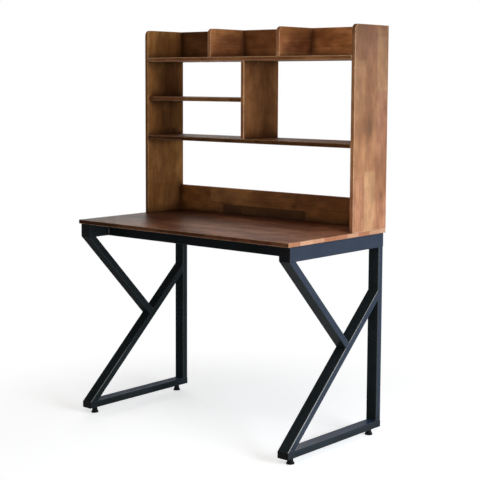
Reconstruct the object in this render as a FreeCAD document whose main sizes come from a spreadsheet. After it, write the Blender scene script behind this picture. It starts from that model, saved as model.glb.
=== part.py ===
import FreeCAD, Part
import os
import re
import Sketcher
from dataclasses import dataclass, field

# Student desk with hutch: jointed wood boards on two welded steel side frames with levelling feet.
# Millimetres, +Z up, front towards -Y. The origin is on the floor under the middle of the desk.

Point = tuple[str, str, str]
Vector = FreeCAD.Vector

# Driving sizes in millimetres, and angles in degrees
SIZES = {
    # Desktop
    "desk_width": 1000,
    "desk_depth": 550,
    "desk_height": 740,
    "desktop_thick": 15,
    "desktop_arris": 2,
    # Hutch boards
    "hutch_height": 710,
    "hutch_depth": 200,
    "side_thick": 15,
    "side_corner": 20,
    "shelf_thick": 15,
    "divider_thick": 15,
    "divider_corner": 20,
    "cubby_height": 105,
    "bay_height": 285,
    "small_shelf_inset": 11,
    "top_back_thick": 10,
    "low_back_thick": 15,
    "low_back_height": 100,
    "board_arris": 1.5,
    # Side frames
    "frame_side_inset": 3,
    "frame_end_inset": 10,
    "tube_width": 45,
    "tube_thick": 25,
    "tube_wall": 1.5,
    "tube_corner": 3,
    "top_rail_height": 50,
    "long_brace_angle": 43.1,
    "short_brace_angle": 46.2,
    # Cross rails and their end plates
    "cross_rail_setback": 95,
    "cross_rail_thick": 25,
    "cross_rail_height": 50,
    "plate_thick": 4,
    "plate_length": 70,
    "plate_bolt_setback": 22,
    "plate_bolt_spacing": 26,
    "plate_bolt_radius": 4,
    "plate_bolt_head_radius": 7,
    "plate_bolt_head_height": 4.4,
    "plate_bolt_socket": 5,
    "plate_bolt_end": 2,
    "nut_flats": 13,
    "nut_height": 6.5,
    # Tube caps
    "cap_thick": 2,
    "cap_plug": 12,
    # Bolts and inserts under the desktop
    "desktop_bolt_setback": 60,
    "desktop_bolt_radius": 3,
    "desktop_bolt_head_radius": 5.5,
    "desktop_bolt_head_height": 4,
    "desktop_bolt_socket": 4,
    "desktop_bolt_access_radius": 7,
    "insert_radius": 5,
    # Cam locks and cam bolts
    "cam_radius": 7.5,
    "cam_reach": 24,
    "cam_floor": 2.5,
    "cam_bolt_radius": 3,
    "cam_bolt_thread_radius": 2.5,
    "cam_bolt_tip": 4,
    "cam_recess_flats": 5,
    "cam_recess_depth": 1.5,
    "cam_edge_inset": 40,
    "board_skin": 4,
    # Dowels
    "dowel_radius": 4,
    "dowel_reach": 20,
    "low_back_pin_rise": 28,
    # Long screws of the dividers
    "long_screw_radius": 2.5,
    "long_screw_head_radius": 4,
    "long_screw_head_height": 2.5,
    "long_screw_reach": 35,
    "long_screw_socket": 3,
    "long_screw_inset": 45,
    # Screws of the back boards
    "back_screw_radius": 1.75,
    "back_screw_head_radius": 3.5,
    "back_screw_head_height": 2,
    "back_screw_reach": 28,
    "back_screw_socket": 2.5,
    # Levelling feet
    "foot_setback": 40,
    "foot_base_radius": 14,
    "foot_base_arris": 1.2,
    "foot_rim_height": 5,
    "foot_neck_radius": 9.5,
    "foot_pad_height": 19,
    "foot_collar_flats": 13,
    "foot_collar_height": 4.6,
    "foot_play": 0.2,
    "foot_pin_radius": 5,
    "foot_pin_length": 11,
    "stud_radius": 4,
    "stud_length": 20,
    # Clearances
    "wood_fit": 0.1,
    "steel_fit": 0.2,
    "running_fit": 0.05,
    "cut_overrun": 1,
}

# Where the repeated screws stand, as shares of the length that they follow
LOW_BACK_SCREW_SHARES = (-0.8, -0.27, 0.27, 0.8)
TOP_BACK_SCREW_SHARES = (-0.8, -0.48, 0.48, 0.8)
DIVIDER_SCREW_SHARES = (0.3, 0.7)

# Places on the hutch
SIDE_INNER = "(desk_width / 2 - side_thick)"
HUTCH_FRONT = "(desk_depth / 2 - hutch_depth)"
HUTCH_BACK = "(desk_depth / 2)"
TOP_SHELF_TOP = "(desk_height + hutch_height - cubby_height)"
TOP_SHELF_FOOT = f"({TOP_SHELF_TOP} - shelf_thick)"
MIDDLE_SHELF_TOP = f"({TOP_SHELF_FOOT} - bay_height)"
MIDDLE_SHELF_FOOT = f"({MIDDLE_SHELF_TOP} - shelf_thick)"
SMALL_SHELF_FOOT = f"({MIDDLE_SHELF_TOP} + (bay_height - shelf_thick) / 2)"
CUBBY_BACK = "(desk_depth / 2 - top_back_thick)"
CUBBY_WIDTH = "((desk_width - 2 * side_thick - 2 * divider_thick) / 3)"
DIVIDER_MIDDLE = f"({CUBBY_WIDTH} / 2 + divider_thick / 2)"
LOW_BACK_MIDDLE = "(desk_depth / 2 - low_back_thick / 2)"
TOP_BACK_MIDDLE = "(desk_depth / 2 - top_back_thick / 2)"

# Places on the side frames
FRAME_OUTER = "(desk_width / 2 - frame_side_inset)"
FRAME_INNER = f"({FRAME_OUTER} - tube_width)"
FRAME_MIDDLE = f"({FRAME_OUTER} - tube_width / 2)"
FRAME_FRONT = "(frame_end_inset - desk_depth / 2)"
FRAME_BACK = "(desk_depth / 2 - frame_end_inset)"
FRAME_TOP = "(desk_height - desktop_thick)"
TOP_RAIL_FOOT = f"({FRAME_TOP} - top_rail_height)"
FRAME_FOOT = "(foot_pad_height + foot_collar_height + 2 * foot_play)"
LOW_RAIL_TOP = f"({FRAME_FOOT} + tube_thick)"
POST_FRONT = f"({FRAME_BACK} - tube_thick)"
PLATE_INNER = f"({FRAME_INNER} - plate_thick)"

SIDES = {"left": "-x", "right": "+x"}
ENDS = ("front", "rear")
WAYS = {
    "+x": Vector(1, 0, 0),
    "-x": Vector(-1, 0, 0),
    "+y": Vector(0, 1, 0),
    "-y": Vector(0, -1, 0),
    "+z": Vector(0, 0, 1),
    "-z": Vector(0, 0, -1),
}

# How near two points count as one, and how straight two faces count as smooth, in radians
TOUCH = 0.001
SMOOTH = 0.01

doc = FreeCAD.newDocument("StudentDesk")
nodes = []


def write_sheet() -> None:
    """Put the driving sizes into the document's spreadsheet."""
    sheet = doc.addObject("Spreadsheet::Sheet", "Sizes")
    for row, (alias, value) in enumerate(SIZES.items(), start=1):
        sheet.set(f"A{row}", alias)
        sheet.set(f"B{row}", str(value))
        sheet.setAlias(f"B{row}", alias)
    doc.recompute()


def sheet_words(expression: str) -> str:
    """Name the sheet before each alias in an expression, leaving functions such as sin alone."""
    return re.sub(r"\b[a-z][a-z_]*\b(?!\()", r"Sizes.\g<0>", expression)


def bind(item, **sizes: str) -> None:
    """Bind properties of an object to expressions in the sheet's aliases."""
    for name, expression in sizes.items():
        item.setExpression(name, sheet_words(expression))


def place(item, at: Point, way: str = "+z") -> None:
    """Bind an object's place, and turn its own +Z to a way."""
    turn = FreeCAD.Rotation(WAYS["+z"], WAYS[way])
    item.Placement = FreeCAD.Placement(Vector(), turn)
    for axis, expression in zip("xyz", at):
        item.setExpression(f"Placement.Base.{axis}", sheet_words(expression))


def opposite(way: str) -> str:
    """Return the way that points back."""
    return ("-" if way[0] == "+" else "+") + way[1]


def signed(way: str, expression: str) -> str:
    """Return an expression with the sign of a way."""
    return f"({way[0]}({expression}))"


def along(at: Point, way: str, distance: str) -> Point:
    """Return a point moved along a way."""
    moved = list(at)
    axis = "xyz".index(way[1])
    moved[axis] = f"({moved[axis]} {way[0]} ({distance}))"
    return tuple(moved)


def new_name(label: str) -> str:
    """Return a name for a helper object that no other object has."""
    return f"{label}_{len(doc.Objects)}"


def rod(label: str, at: Point, way: str, radius: str, length: str):
    """Make a cylinder that starts at a point and runs along a way."""
    item = doc.addObject("Part::Cylinder", new_name(label))
    bind(item, Radius=radius, Height=length)
    place(item, at, way)
    return item


def hexagon(label: str, at: Point, way: str, flats: str, length: str):
    """Make a six-sided prism with a given width across its flats."""
    item = doc.addObject("Part::Prism", new_name(label))
    item.Polygon = 6
    bind(item, Circumradius=f"{flats} / sqrt(3)", Height=length)
    place(item, at, way)
    return item


def block(label: str, corner: Point, size: Point):
    """Make a box from its lowest corner."""
    item = doc.addObject("Part::Box", new_name(label))
    bind(item, Length=size[0], Width=size[1], Height=size[2])
    place(item, corner)
    return item


def joined(label: str, items: list):
    """Fuse several solids into one."""
    item = doc.addObject("Part::MultiFuse", new_name(label))
    item.Shapes = items
    return item


def less(label: str, base, tool):
    """Cut one solid out of another."""
    item = doc.addObject("Part::Cut", new_name(label))
    item.Base = base
    item.Tool = tool
    return item


def common(label: str, base, tool):
    """Keep what two solids share."""
    item = doc.addObject("Part::Common", new_name(label))
    item.Base = base
    item.Tool = tool
    return item


def keep(item, label: str):
    """List an object as a sub-part under its label."""
    item.Label = label
    nodes.append(item)
    return item


def keep_group(label: str, items: list):
    """List several separate solids as one sub-part."""
    group = doc.addObject("Part::Compound", new_name(label))
    group.Links = items
    return keep(group, label)


def on_face(edge, box, way: str) -> bool:
    """Say whether an edge lies on one face of a bounding box."""
    axis = way[1].upper()
    if way[0] == "-":
        return getattr(edge.BoundBox, axis + "Max") < getattr(box, axis + "Min") + TOUCH
    return getattr(edge.BoundBox, axis + "Min") > getattr(box, axis + "Max") - TOUCH


def is_smooth(shape, edge) -> bool:
    """Say whether the two faces at an edge run into each other without a corner."""
    middle = edge.valueAt((edge.FirstParameter + edge.LastParameter) / 2)
    normals = []
    for face in shape.ancestorsOfType(edge, Part.Face):
        normals.append(face.normalAt(*face.Surface.parameter(middle)))
    return len(normals) == 2 and normals[0].getAngle(normals[1]) < SMOOTH


def edge_names(shape, wanted) -> list[str]:
    """Name the sharp edges of a shape that pass a test of the edge and the shape's box."""
    names = []
    for number, edge in enumerate(shape.Edges, start=1):
        if wanted(edge, shape.BoundBox) and not is_smooth(shape, edge):
            names.append(f"Edge{number}")
    return names


def round_edges(body, wanted, radius: str) -> None:
    """Round the edges of a body's newest feature that pass a test."""
    doc.recompute()
    base = body.Tip
    fillet = body.newObject("PartDesign::Fillet", new_name(f"{body.Name}_rounding"))
    fillet.Base = (base, edge_names(base.Shape, wanted))
    bind(fillet, Radius=radius)


@dataclass
class Drilling:
    """A round hole from a point on a face, along a way into the piece."""

    at: Point
    way: str
    radius: str
    depth: str


@dataclass
class Piece:
    """A sub-part cut from a block: its label, lowest corner and sizes, with the holes drilled in it."""

    label: str
    corner: Point
    size: Point
    drillings: list[Drilling] = field(default_factory=list)

    def drill(self, at: Point, way: str, radius: str, depth: str) -> None:
        """Add a hole to be drilled when the piece is built."""
        self.drillings.append(Drilling(at, way, radius, depth))

    def start(self):
        """Make the body with its block."""
        body = doc.addObject("PartDesign::Body", self.label)
        place(body, self.corner)
        blank = body.newObject("PartDesign::AdditiveBox", new_name(f"{self.label}_blank"))
        bind(blank, Length=self.size[0], Width=self.size[1], Height=self.size[2])
        return body

    def cut_holes(self, body) -> None:
        """Drill the holes, in the body's own frame."""
        for hole in self.drillings:
            start = along(hole.at, opposite(hole.way), "cut_overrun")
            local = tuple(f"{spot} - {corner}" for spot, corner in zip(start, self.corner))
            cutter = body.newObject("PartDesign::SubtractiveCylinder", new_name(f"{self.label}_hole"))
            bind(cutter, Radius=hole.radius, Height=f"{hole.depth} + cut_overrun")
            place(cutter, local, hole.way)


@dataclass
class Board(Piece):
    """A wood board with rounded arrises, apart from the faces that meet another board."""

    thick: str = "shelf_thick"
    meets: tuple[str, ...] = ()
    corner_radius: str = ""
    arris: str = "board_arris"

    def build(self) -> None:
        """Make the board."""
        body = self.start()
        if self.corner_radius:
            round_edges(body, self.is_front_top, self.corner_radius)
        round_edges(body, self.is_free, self.arris)
        self.cut_holes(body)
        keep(body, self.label)

    def is_front_top(self, edge, box) -> bool:
        """Say whether an edge is the top one at the front."""
        return on_face(edge, box, "-y") and on_face(edge, box, "+z")

    def is_free(self, edge, box) -> bool:
        """Say whether an edge lies on no face that meets another board."""
        return not any(on_face(edge, box, way) for way in self.meets)


@dataclass
class Tube(Piece):
    """A steel tube of rectangular section with rounded corners, open at both ends."""

    axis: str = "y"

    def bore(self) -> tuple[Point, Point]:
        """Return the corner and the sizes of the hollow, in the tube's own frame."""
        corner = tuple("0" if axis == self.axis else "tube_wall" for axis in "xyz")
        size = tuple(
            length if axis == self.axis else f"{length} - 2 * tube_wall"
            for axis, length in zip("xyz", self.size)
        )
        return corner, size

    def runs_along(self, edge, box) -> bool:
        """Say whether an edge runs along the tube, and not across its box."""
        reach = edge.BoundBox
        across = {"x": reach.XLength, "y": reach.YLength, "z": reach.ZLength}
        across.pop(self.axis)
        return max(across.values()) < TOUCH

    def shape_body(self):
        """Make the tube's body with its hollow and its holes."""
        body = self.start()
        round_edges(body, self.runs_along, "tube_corner")
        corner, size = self.bore()
        hollow = body.newObject("PartDesign::SubtractiveBox", new_name(f"{self.label}_hollow"))
        bind(hollow, Length=size[0], Width=size[1], Height=size[2])
        place(hollow, corner)
        round_edges(body, self.runs_along, "tube_corner - tube_wall")
        self.cut_holes(body)
        return body

    def build(self) -> None:
        """Make the tube."""
        keep(self.shape_body(), self.label)


class Hardware:
    """Collects the fasteners of each kind, and drills the pieces that they hold."""

    def __init__(self) -> None:
        self.groups: dict[str, list] = {}

    def add(self, label: str, item) -> None:
        """Put a solid into the group of its kind."""
        self.groups.setdefault(label, []).append(item)

    def cam(self, board: Board, panel: Board, at: Point, way: str, face: str) -> None:
        """Hold a board's end to a panel with a cam lock and its bolt.

        The point lies where the bolt's axis crosses from the panel into the board, the way runs into the
        board, and the face is the way in which the cam goes into the board.
        """
        panel_depth = f"({panel.thick} - board_skin)"
        pocket_depth = f"({board.thick} - cam_floor)"
        centre = along(at, way, "cam_reach")
        mouth = along(centre, opposite(face), f"{board.thick} / 2")
        panel.drill(at, opposite(way), "cam_bolt_thread_radius + wood_fit", panel_depth)
        board.drill(at, way, "cam_bolt_radius + wood_fit", "cam_reach + cam_bolt_tip + wood_fit")
        board.drill(mouth, face, "cam_radius + wood_fit", pocket_depth)
        disc = rod("cam_disc", mouth, face, "cam_radius", f"{pocket_depth} - wood_fit")
        way_in = rod("cam_way", at, way, "cam_bolt_radius + wood_fit", "cam_reach + cam_bolt_tip + wood_fit")
        recess = hexagon("cam_recess", mouth, face, "cam_recess_flats", "cam_recess_depth")
        self.add("cam_locks", less("cam", disc, joined("cam_cuts", [way_in, recess])))
        thread = rod("cam_thread", at, opposite(way), "cam_bolt_thread_radius", f"{panel_depth} - wood_fit")
        shank = rod("cam_shank", at, way, "cam_bolt_radius", "cam_reach + cam_bolt_tip")
        self.add("cam_bolts", joined("cam_bolt", [thread, shank]))

    def dowel(self, board: Board, panel: Board, at: Point, way: str) -> None:
        """Pin a board's end to a panel with a wood dowel."""
        depth = f"({panel.thick} - board_skin)"
        panel.drill(at, opposite(way), "dowel_radius + wood_fit", depth)
        board.drill(at, way, "dowel_radius + wood_fit", "dowel_reach")
        start = along(at, opposite(way), f"{depth} - wood_fit")
        self.add("dowels", rod("dowel", start, way, "dowel_radius", f"{depth} + dowel_reach - 2 * wood_fit"))

    def screw(self, kind: str, through: Board, into: Board, at: Point, way: str) -> None:
        """Screw one board to the next one, from a point on the first board's outer face."""
        thick = through.thick
        length = f"{thick} + {kind}_reach"
        through.drill(at, way, f"{kind}_head_radius + wood_fit", f"{kind}_head_height + wood_fit")
        through.drill(at, way, f"{kind}_radius + wood_fit", f"{thick} + cut_overrun")
        into.drill(along(at, way, thick), way, f"{kind}_radius + wood_fit", f"{kind}_reach + wood_fit")
        head = rod(kind + "_head", at, way, f"{kind}_head_radius", f"{kind}_head_height")
        shank = rod(kind + "_shank", at, way, f"{kind}_radius", length)
        socket = hexagon(kind + "_socket", at, way, f"{kind}_socket", f"{kind}_head_height / 2")
        whole = joined(kind + "_blank", [head, shank])
        self.add(kind + "s", less(kind, whole, socket))

    def nut(self, label: str, at: Point, way: str, radius: str) -> None:
        """Put a weld nut on the inside of a tube's wall."""
        blank = hexagon("nut_blank", at, way, "nut_flats", "nut_height")
        start = along(at, opposite(way), "cut_overrun")
        bore = rod("nut_bore", start, way, radius, "nut_height + 2 * cut_overrun")
        self.add(label, less("nut", blank, bore))

    def plate_bolt(self, rail: Tube, at: Point, way: str) -> None:
        """Bolt a cross rail's end plate to a top rail, from a point on the plate's inner face."""
        length = "plate_thick + tube_wall + nut_height + plate_bolt_end"
        wall = along(at, way, "plate_thick")
        rail.drill(wall, way, "plate_bolt_radius + steel_fit", "tube_wall + cut_overrun")
        top = along(at, opposite(way), "plate_bolt_head_height")
        head = rod("bolt_head", top, way, "plate_bolt_head_radius", "plate_bolt_head_height")
        shank = rod("bolt_shank", at, way, "plate_bolt_radius", length)
        socket = hexagon("bolt_socket", top, way, "plate_bolt_socket", "plate_bolt_head_height / 2")
        self.add("plate_bolts", less("plate_bolt", joined("bolt_blank", [head, shank]), socket))
        self.nut("plate_nuts", along(wall, way, "tube_wall"), way, "plate_bolt_radius + steel_fit")

    def desktop_bolt(self, rail: Tube, desktop: Board, x: str, y: str) -> None:
        """Bolt the desktop to a top rail, from inside the rail up into a threaded insert."""
        depth = "(desktop_thick - board_skin)"
        seat = (x, y, f"({FRAME_TOP} - tube_wall)")
        top = (x, y, FRAME_TOP)
        rail.drill(seat, "+z", "desktop_bolt_radius + steel_fit", "tube_wall + cut_overrun")
        rail.drill((x, y, TOP_RAIL_FOOT), "+z", "desktop_bolt_access_radius", "tube_wall + cut_overrun")
        desktop.drill(top, "+z", "insert_radius + wood_fit", depth)
        sleeve = rod("insert_sleeve", top, "+z", "insert_radius", f"{depth} - wood_fit")
        bore = rod("insert_bore", top, "+z", "desktop_bolt_radius + steel_fit", depth)
        self.add("desktop_inserts", less("desktop_insert", sleeve, bore))
        low = along(seat, "-z", "desktop_bolt_head_height")
        head = rod("bolt_head", low, "+z", "desktop_bolt_head_radius", "desktop_bolt_head_height")
        shank = rod("bolt_shank", seat, "+z", "desktop_bolt_radius", f"tube_wall + {depth} - steel_fit")
        socket = hexagon("bolt_socket", low, "+z", "desktop_bolt_socket", "desktop_bolt_head_height / 2")
        self.add("desktop_bolts", less("desktop_bolt", joined("bolt_blank", [head, shank]), socket))

    def build(self) -> None:
        """List each kind of fastener as one sub-part."""
        for label, items in self.groups.items():
            keep_group(label, items)


def hutch_board(label: str, low: Point, high: Point, **options) -> Board:
    """Make a board of the hutch from two opposite corners."""
    size = tuple(f"{end} - {start}" for start, end in zip(low, high))
    return Board(label, low, size, **options)


def make_boards() -> dict[str, Board]:
    """Lay out the desktop and the boards of the hutch."""
    hutch_top = "(desk_height + hutch_height)"
    half = "(desk_width / 2)"
    across = ("-x", "+x")
    upright = ("-z", "+z")
    boards = [
        Board(
            "desktop",
            ("-desk_width / 2", "-desk_depth / 2", FRAME_TOP),
            ("desk_width", "desk_depth", "desktop_thick"),
            thick="desktop_thick",
            arris="desktop_arris",
        ),
        hutch_board(
            "hutch_left_side",
            ("(-desk_width / 2)", HUTCH_FRONT, "desk_height"),
            (f"-{SIDE_INNER}", HUTCH_BACK, hutch_top),
            thick="side_thick",
            meets=("-z",),
            corner_radius="side_corner",
        ),
        hutch_board(
            "hutch_right_side",
            (SIDE_INNER, HUTCH_FRONT, "desk_height"),
            (half, HUTCH_BACK, hutch_top),
            thick="side_thick",
            meets=("-z",),
            corner_radius="side_corner",
        ),
        hutch_board(
            "top_shelf",
            (f"(-{SIDE_INNER})", HUTCH_FRONT, TOP_SHELF_FOOT),
            (SIDE_INNER, HUTCH_BACK, TOP_SHELF_TOP),
            meets=across,
        ),
        hutch_board(
            "middle_shelf",
            (f"(-{SIDE_INNER})", HUTCH_FRONT, MIDDLE_SHELF_FOOT),
            (SIDE_INNER, HUTCH_BACK, MIDDLE_SHELF_TOP),
            meets=across,
        ),
        hutch_board(
            "small_shelf",
            (f"(-{SIDE_INNER})", f"({HUTCH_FRONT} + small_shelf_inset)", SMALL_SHELF_FOOT),
            ("-divider_thick / 2", HUTCH_BACK, f"({SMALL_SHELF_FOOT} + shelf_thick)"),
            meets=across,
        ),
        hutch_board(
            "middle_divider",
            ("(-divider_thick / 2)", HUTCH_FRONT, MIDDLE_SHELF_TOP),
            ("divider_thick / 2", HUTCH_BACK, TOP_SHELF_FOOT),
            thick="divider_thick",
            meets=upright,
        ),
        hutch_board(
            "top_back_board",
            (f"(-{SIDE_INNER})", CUBBY_BACK, TOP_SHELF_TOP),
            (SIDE_INNER, HUTCH_BACK, hutch_top),
            thick="top_back_thick",
            meets=across + ("-z",),
        ),
        hutch_board(
            "low_back_board",
            (f"(-{SIDE_INNER})", f"({HUTCH_BACK} - low_back_thick)", "desk_height"),
            (SIDE_INNER, HUTCH_BACK, "(desk_height + low_back_height)"),
            thick="low_back_thick",
            meets=across + ("-z",),
        ),
    ]
    for side, way in SIDES.items():
        middle = signed(way, DIVIDER_MIDDLE)
        boards.append(hutch_board(
            f"top_divider_{side}",
            (f"({middle} - divider_thick / 2)", HUTCH_FRONT, TOP_SHELF_TOP),
            (f"({middle} + divider_thick / 2)", CUBBY_BACK, hutch_top),
            thick="divider_thick",
            meets=("-z", "+y"),
            corner_radius="divider_corner",
        ))
    return {board.label: board for board in boards}


def make_tubes() -> dict[str, Tube]:
    """Lay out the straight tubes of the side frames and the two cross rails."""
    rail_start = f"({FRAME_FRONT} + cap_thick)"
    rail_length = f"({FRAME_BACK} - {FRAME_FRONT} - 2 * cap_thick)"
    tubes = []
    for side in SIDES:
        x = frame_start(side)
        tubes.append(Tube(
            f"{side}_top_rail",
            (x, rail_start, TOP_RAIL_FOOT),
            ("tube_width", rail_length, "top_rail_height"),
        ))
        tubes.append(Tube(
            f"{side}_bottom_rail",
            (x, rail_start, FRAME_FOOT),
            ("tube_width", rail_length, "tube_thick"),
        ))
        tubes.append(Tube(
            f"{side}_rear_post",
            (x, POST_FRONT, LOW_RAIL_TOP),
            ("tube_width", "tube_thick", f"({TOP_RAIL_FOOT} - {LOW_RAIL_TOP})"),
            axis="z",
        ))
    for end in ENDS:
        tubes.append(Tube(
            f"{end}_cross_rail",
            (f"(-{PLATE_INNER})", cross_rail_start(end), f"({FRAME_TOP} - cross_rail_height)"),
            (f"2 * {PLATE_INNER}", "cross_rail_thick", "cross_rail_height"),
            axis="x",
        ))
    return {tube.label: tube for tube in tubes}


def frame_start(side: str) -> str:
    """Return where a side frame starts along X."""
    return FRAME_INNER if side == "right" else f"(-{FRAME_OUTER})"


def cross_rail_start(end: str) -> str:
    """Return where a cross rail starts along Y."""
    if end == "front":
        return f"({FRAME_FRONT} + cross_rail_setback)"
    return f"({FRAME_BACK} - cross_rail_setback - cross_rail_thick)"


def build_braces() -> None:
    """Make the long and the short brace of each side frame, with their ends cut to fit.

    The upper face of the long brace starts at the front top corner of the bottom rail, and the lower face
    of the short brace at the front bottom corner of the top rail.
    """
    length = "(desk_depth + desk_height)"
    rise = "sin(long_brace_angle)"
    run = "cos(long_brace_angle)"
    for side in SIDES:
        x = frame_start(side)
        window_size = ("tube_width", f"{POST_FRONT} - {FRAME_FRONT}", f"{TOP_RAIL_FOOT} - {LOW_RAIL_TOP}")
        windows = [block("window", (x, FRAME_FRONT, LOW_RAIL_TOP), window_size) for _ in range(2)]
        long_corner = (
            x,
            f"{FRAME_FRONT} + tube_thick * {rise} - tube_thick * {run}",
            f"{LOW_RAIL_TOP} - tube_thick * {run} - tube_thick * {rise}",
        )
        short_corner = (
            x,
            f"{FRAME_FRONT} - tube_thick * cos(short_brace_angle)",
            f"{TOP_RAIL_FOOT} + tube_thick * sin(short_brace_angle)",
        )
        below_corner = (
            f"{x} - cut_overrun",
            f"{FRAME_FRONT} + {length} * {rise} - tube_thick * {run}",
            f"{LOW_RAIL_TOP} - {length} * {run} - tube_thick * {rise}",
        )
        size = ("tube_width", length, "tube_thick")
        long_tube = Tube(f"{side}_long_tube", long_corner, size).shape_body()
        tilt(long_tube, "+x", "long_brace_angle")
        keep(common("long_brace", long_tube, windows[0]), f"{side}_long_brace")
        short_tube = Tube(f"{side}_short_tube", short_corner, size).shape_body()
        tilt(short_tube, "-x", "short_brace_angle")
        below = block("below", below_corner, ("tube_width + 2 * cut_overrun", length, length))
        tilt(below, "+x", "long_brace_angle")
        keep(less("short_brace", common("short_run", short_tube, windows[1]), below), f"{side}_short_brace")


def tilt(item, way: str, angle: str) -> None:
    """Turn an object about an axis by an angle of the sheet."""
    item.Placement = FreeCAD.Placement(item.Placement.Base, FreeCAD.Rotation(WAYS[way], SIZES[angle]))
    item.setExpression("Placement.Rotation.Angle", sheet_words(angle))


def join_hutch(boards: dict[str, Board], hardware: Hardware) -> None:
    """Add the cams, dowels and screws that hold the hutch."""
    edge_places = (f"({HUTCH_FRONT} + cam_edge_inset)", f"({HUTCH_BACK} - cam_edge_inset)")
    middle = f"(({HUTCH_FRONT} + {HUTCH_BACK}) / 2)"
    heights = {
        "top_shelf": f"({TOP_SHELF_FOOT} + shelf_thick / 2)",
        "middle_shelf": f"({MIDDLE_SHELF_FOOT} + shelf_thick / 2)",
        "small_shelf": f"({SMALL_SHELF_FOOT} + shelf_thick / 2)",
    }
    ends = {
        "top_shelf": {"hutch_left_side": f"(-{SIDE_INNER})", "hutch_right_side": SIDE_INNER},
        "middle_shelf": {"hutch_left_side": f"(-{SIDE_INNER})", "hutch_right_side": SIDE_INNER},
        "small_shelf": {"hutch_left_side": f"(-{SIDE_INNER})", "middle_divider": "(-divider_thick / 2)"},
    }
    for shelf, panels in ends.items():
        face = "-z" if shelf == "top_shelf" else "+z"
        for (panel, x), way in zip(panels.items(), ("+x", "-x")):
            for y in edge_places:
                at = (x, y, heights[shelf])
                hardware.cam(boards[shelf], boards[panel], at, way, face)
            hardware.dowel(boards[shelf], boards[panel], (x, middle, heights[shelf]), way)
    for side, way in SIDES.items():
        panel = boards[f"hutch_{side}_side"]
        x = signed(way, SIDE_INNER)
        cam_at = (x, LOW_BACK_MIDDLE, "(desk_height + low_back_height / 2)")
        hardware.cam(boards["low_back_board"], panel, cam_at, opposite(way), "-y")
        pin_at = along(cam_at, "-z", "low_back_pin_rise")
        hardware.dowel(boards["low_back_board"], panel, pin_at, opposite(way))
        for y in edge_places:
            foot = (signed(way, "desk_width / 2 - side_thick / 2"), y, "desk_height")
            hardware.dowel(panel, boards["desktop"], foot, "+z")


def screw_hutch(boards: dict[str, Board], hardware: Hardware) -> None:
    """Add the long screws of the dividers and the screws of the back boards."""
    divider = boards["middle_divider"]
    top_shelf = boards["top_shelf"]
    for y in (f"({HUTCH_FRONT} + long_screw_inset)", f"({HUTCH_BACK} - long_screw_inset)"):
        below = ("0", y, MIDDLE_SHELF_FOOT)
        above = ("0", y, TOP_SHELF_TOP)
        hardware.screw("long_screw", boards["middle_shelf"], divider, below, "+z")
        hardware.screw("long_screw", top_shelf, divider, above, "-z")
        for side, way in SIDES.items():
            short = boards[f"top_divider_{side}"]
            at = (signed(way, DIVIDER_MIDDLE), y, TOP_SHELF_FOOT)
            hardware.screw("long_screw", top_shelf, short, at, "+z")
    for share in LOW_BACK_SCREW_SHARES:
        at = (f"({share} * {SIDE_INNER})", LOW_BACK_MIDDLE, FRAME_TOP)
        hardware.screw("back_screw", boards["desktop"], boards["low_back_board"], at, "+z")
    for share in TOP_BACK_SCREW_SHARES:
        at = (f"({share} * {SIDE_INNER})", TOP_BACK_MIDDLE, TOP_SHELF_FOOT)
        hardware.screw("back_screw", top_shelf, boards["top_back_board"], at, "+z")
    for side, way in SIDES.items():
        for share in DIVIDER_SCREW_SHARES:
            at = (signed(way, DIVIDER_MIDDLE), HUTCH_BACK, f"({TOP_SHELF_TOP} + {share} * cubby_height)")
            short = boards[f"top_divider_{side}"]
            hardware.screw("back_screw", boards["top_back_board"], short, at, "-y")


def join_frames(boards: dict[str, Board], tubes: dict[str, Tube], hardware: Hardware) -> None:
    """Bolt the cross rails and the desktop to the side frames."""
    bolt_places = (f"({FRAME_FRONT} + desktop_bolt_setback)", "0", f"({FRAME_BACK} - desktop_bolt_setback)")
    for side, way in SIDES.items():
        top_rail = tubes[f"{side}_top_rail"]
        for y in bolt_places:
            hardware.desktop_bolt(top_rail, boards["desktop"], signed(way, FRAME_MIDDLE), y)
        for end in ENDS:
            plate = plate_blank(side, end)
            height = f"({FRAME_TOP} - cross_rail_height / 2)"
            middle = (signed(way, PLATE_INNER), plate_bolt_place(end), height)
            for rise in ("+z", "-z"):
                at = along(middle, rise, "plate_bolt_spacing / 2")
                hardware.plate_bolt(top_rail, at, way)
                plate.drill(at, way, "plate_bolt_radius + steel_fit", "plate_thick + cut_overrun")
            body = plate.start()
            plate.cut_holes(body)
            hardware.add("cross_rail_plates", body)


def plate_bolt_place(end: str) -> str:
    """Return where the bolts of an end plate stand along Y."""
    if end == "front":
        return f"({cross_rail_start(end)} + cross_rail_thick + plate_bolt_setback)"
    return f"({cross_rail_start(end)} - plate_bolt_setback)"


def plate_blank(side: str, end: str) -> Piece:
    """Lay out the plate that closes one end of a cross rail and carries its bolts."""
    x = PLATE_INNER if side == "right" else f"(-{FRAME_INNER})"
    y = cross_rail_start(end)
    if end == "rear":
        y = f"({y} + cross_rail_thick - plate_length)"
    corner = (x, y, f"({FRAME_TOP} - cross_rail_height)")
    return Piece(f"{end}_{side}_plate", corner, ("plate_thick", "plate_length", "cross_rail_height"))


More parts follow.
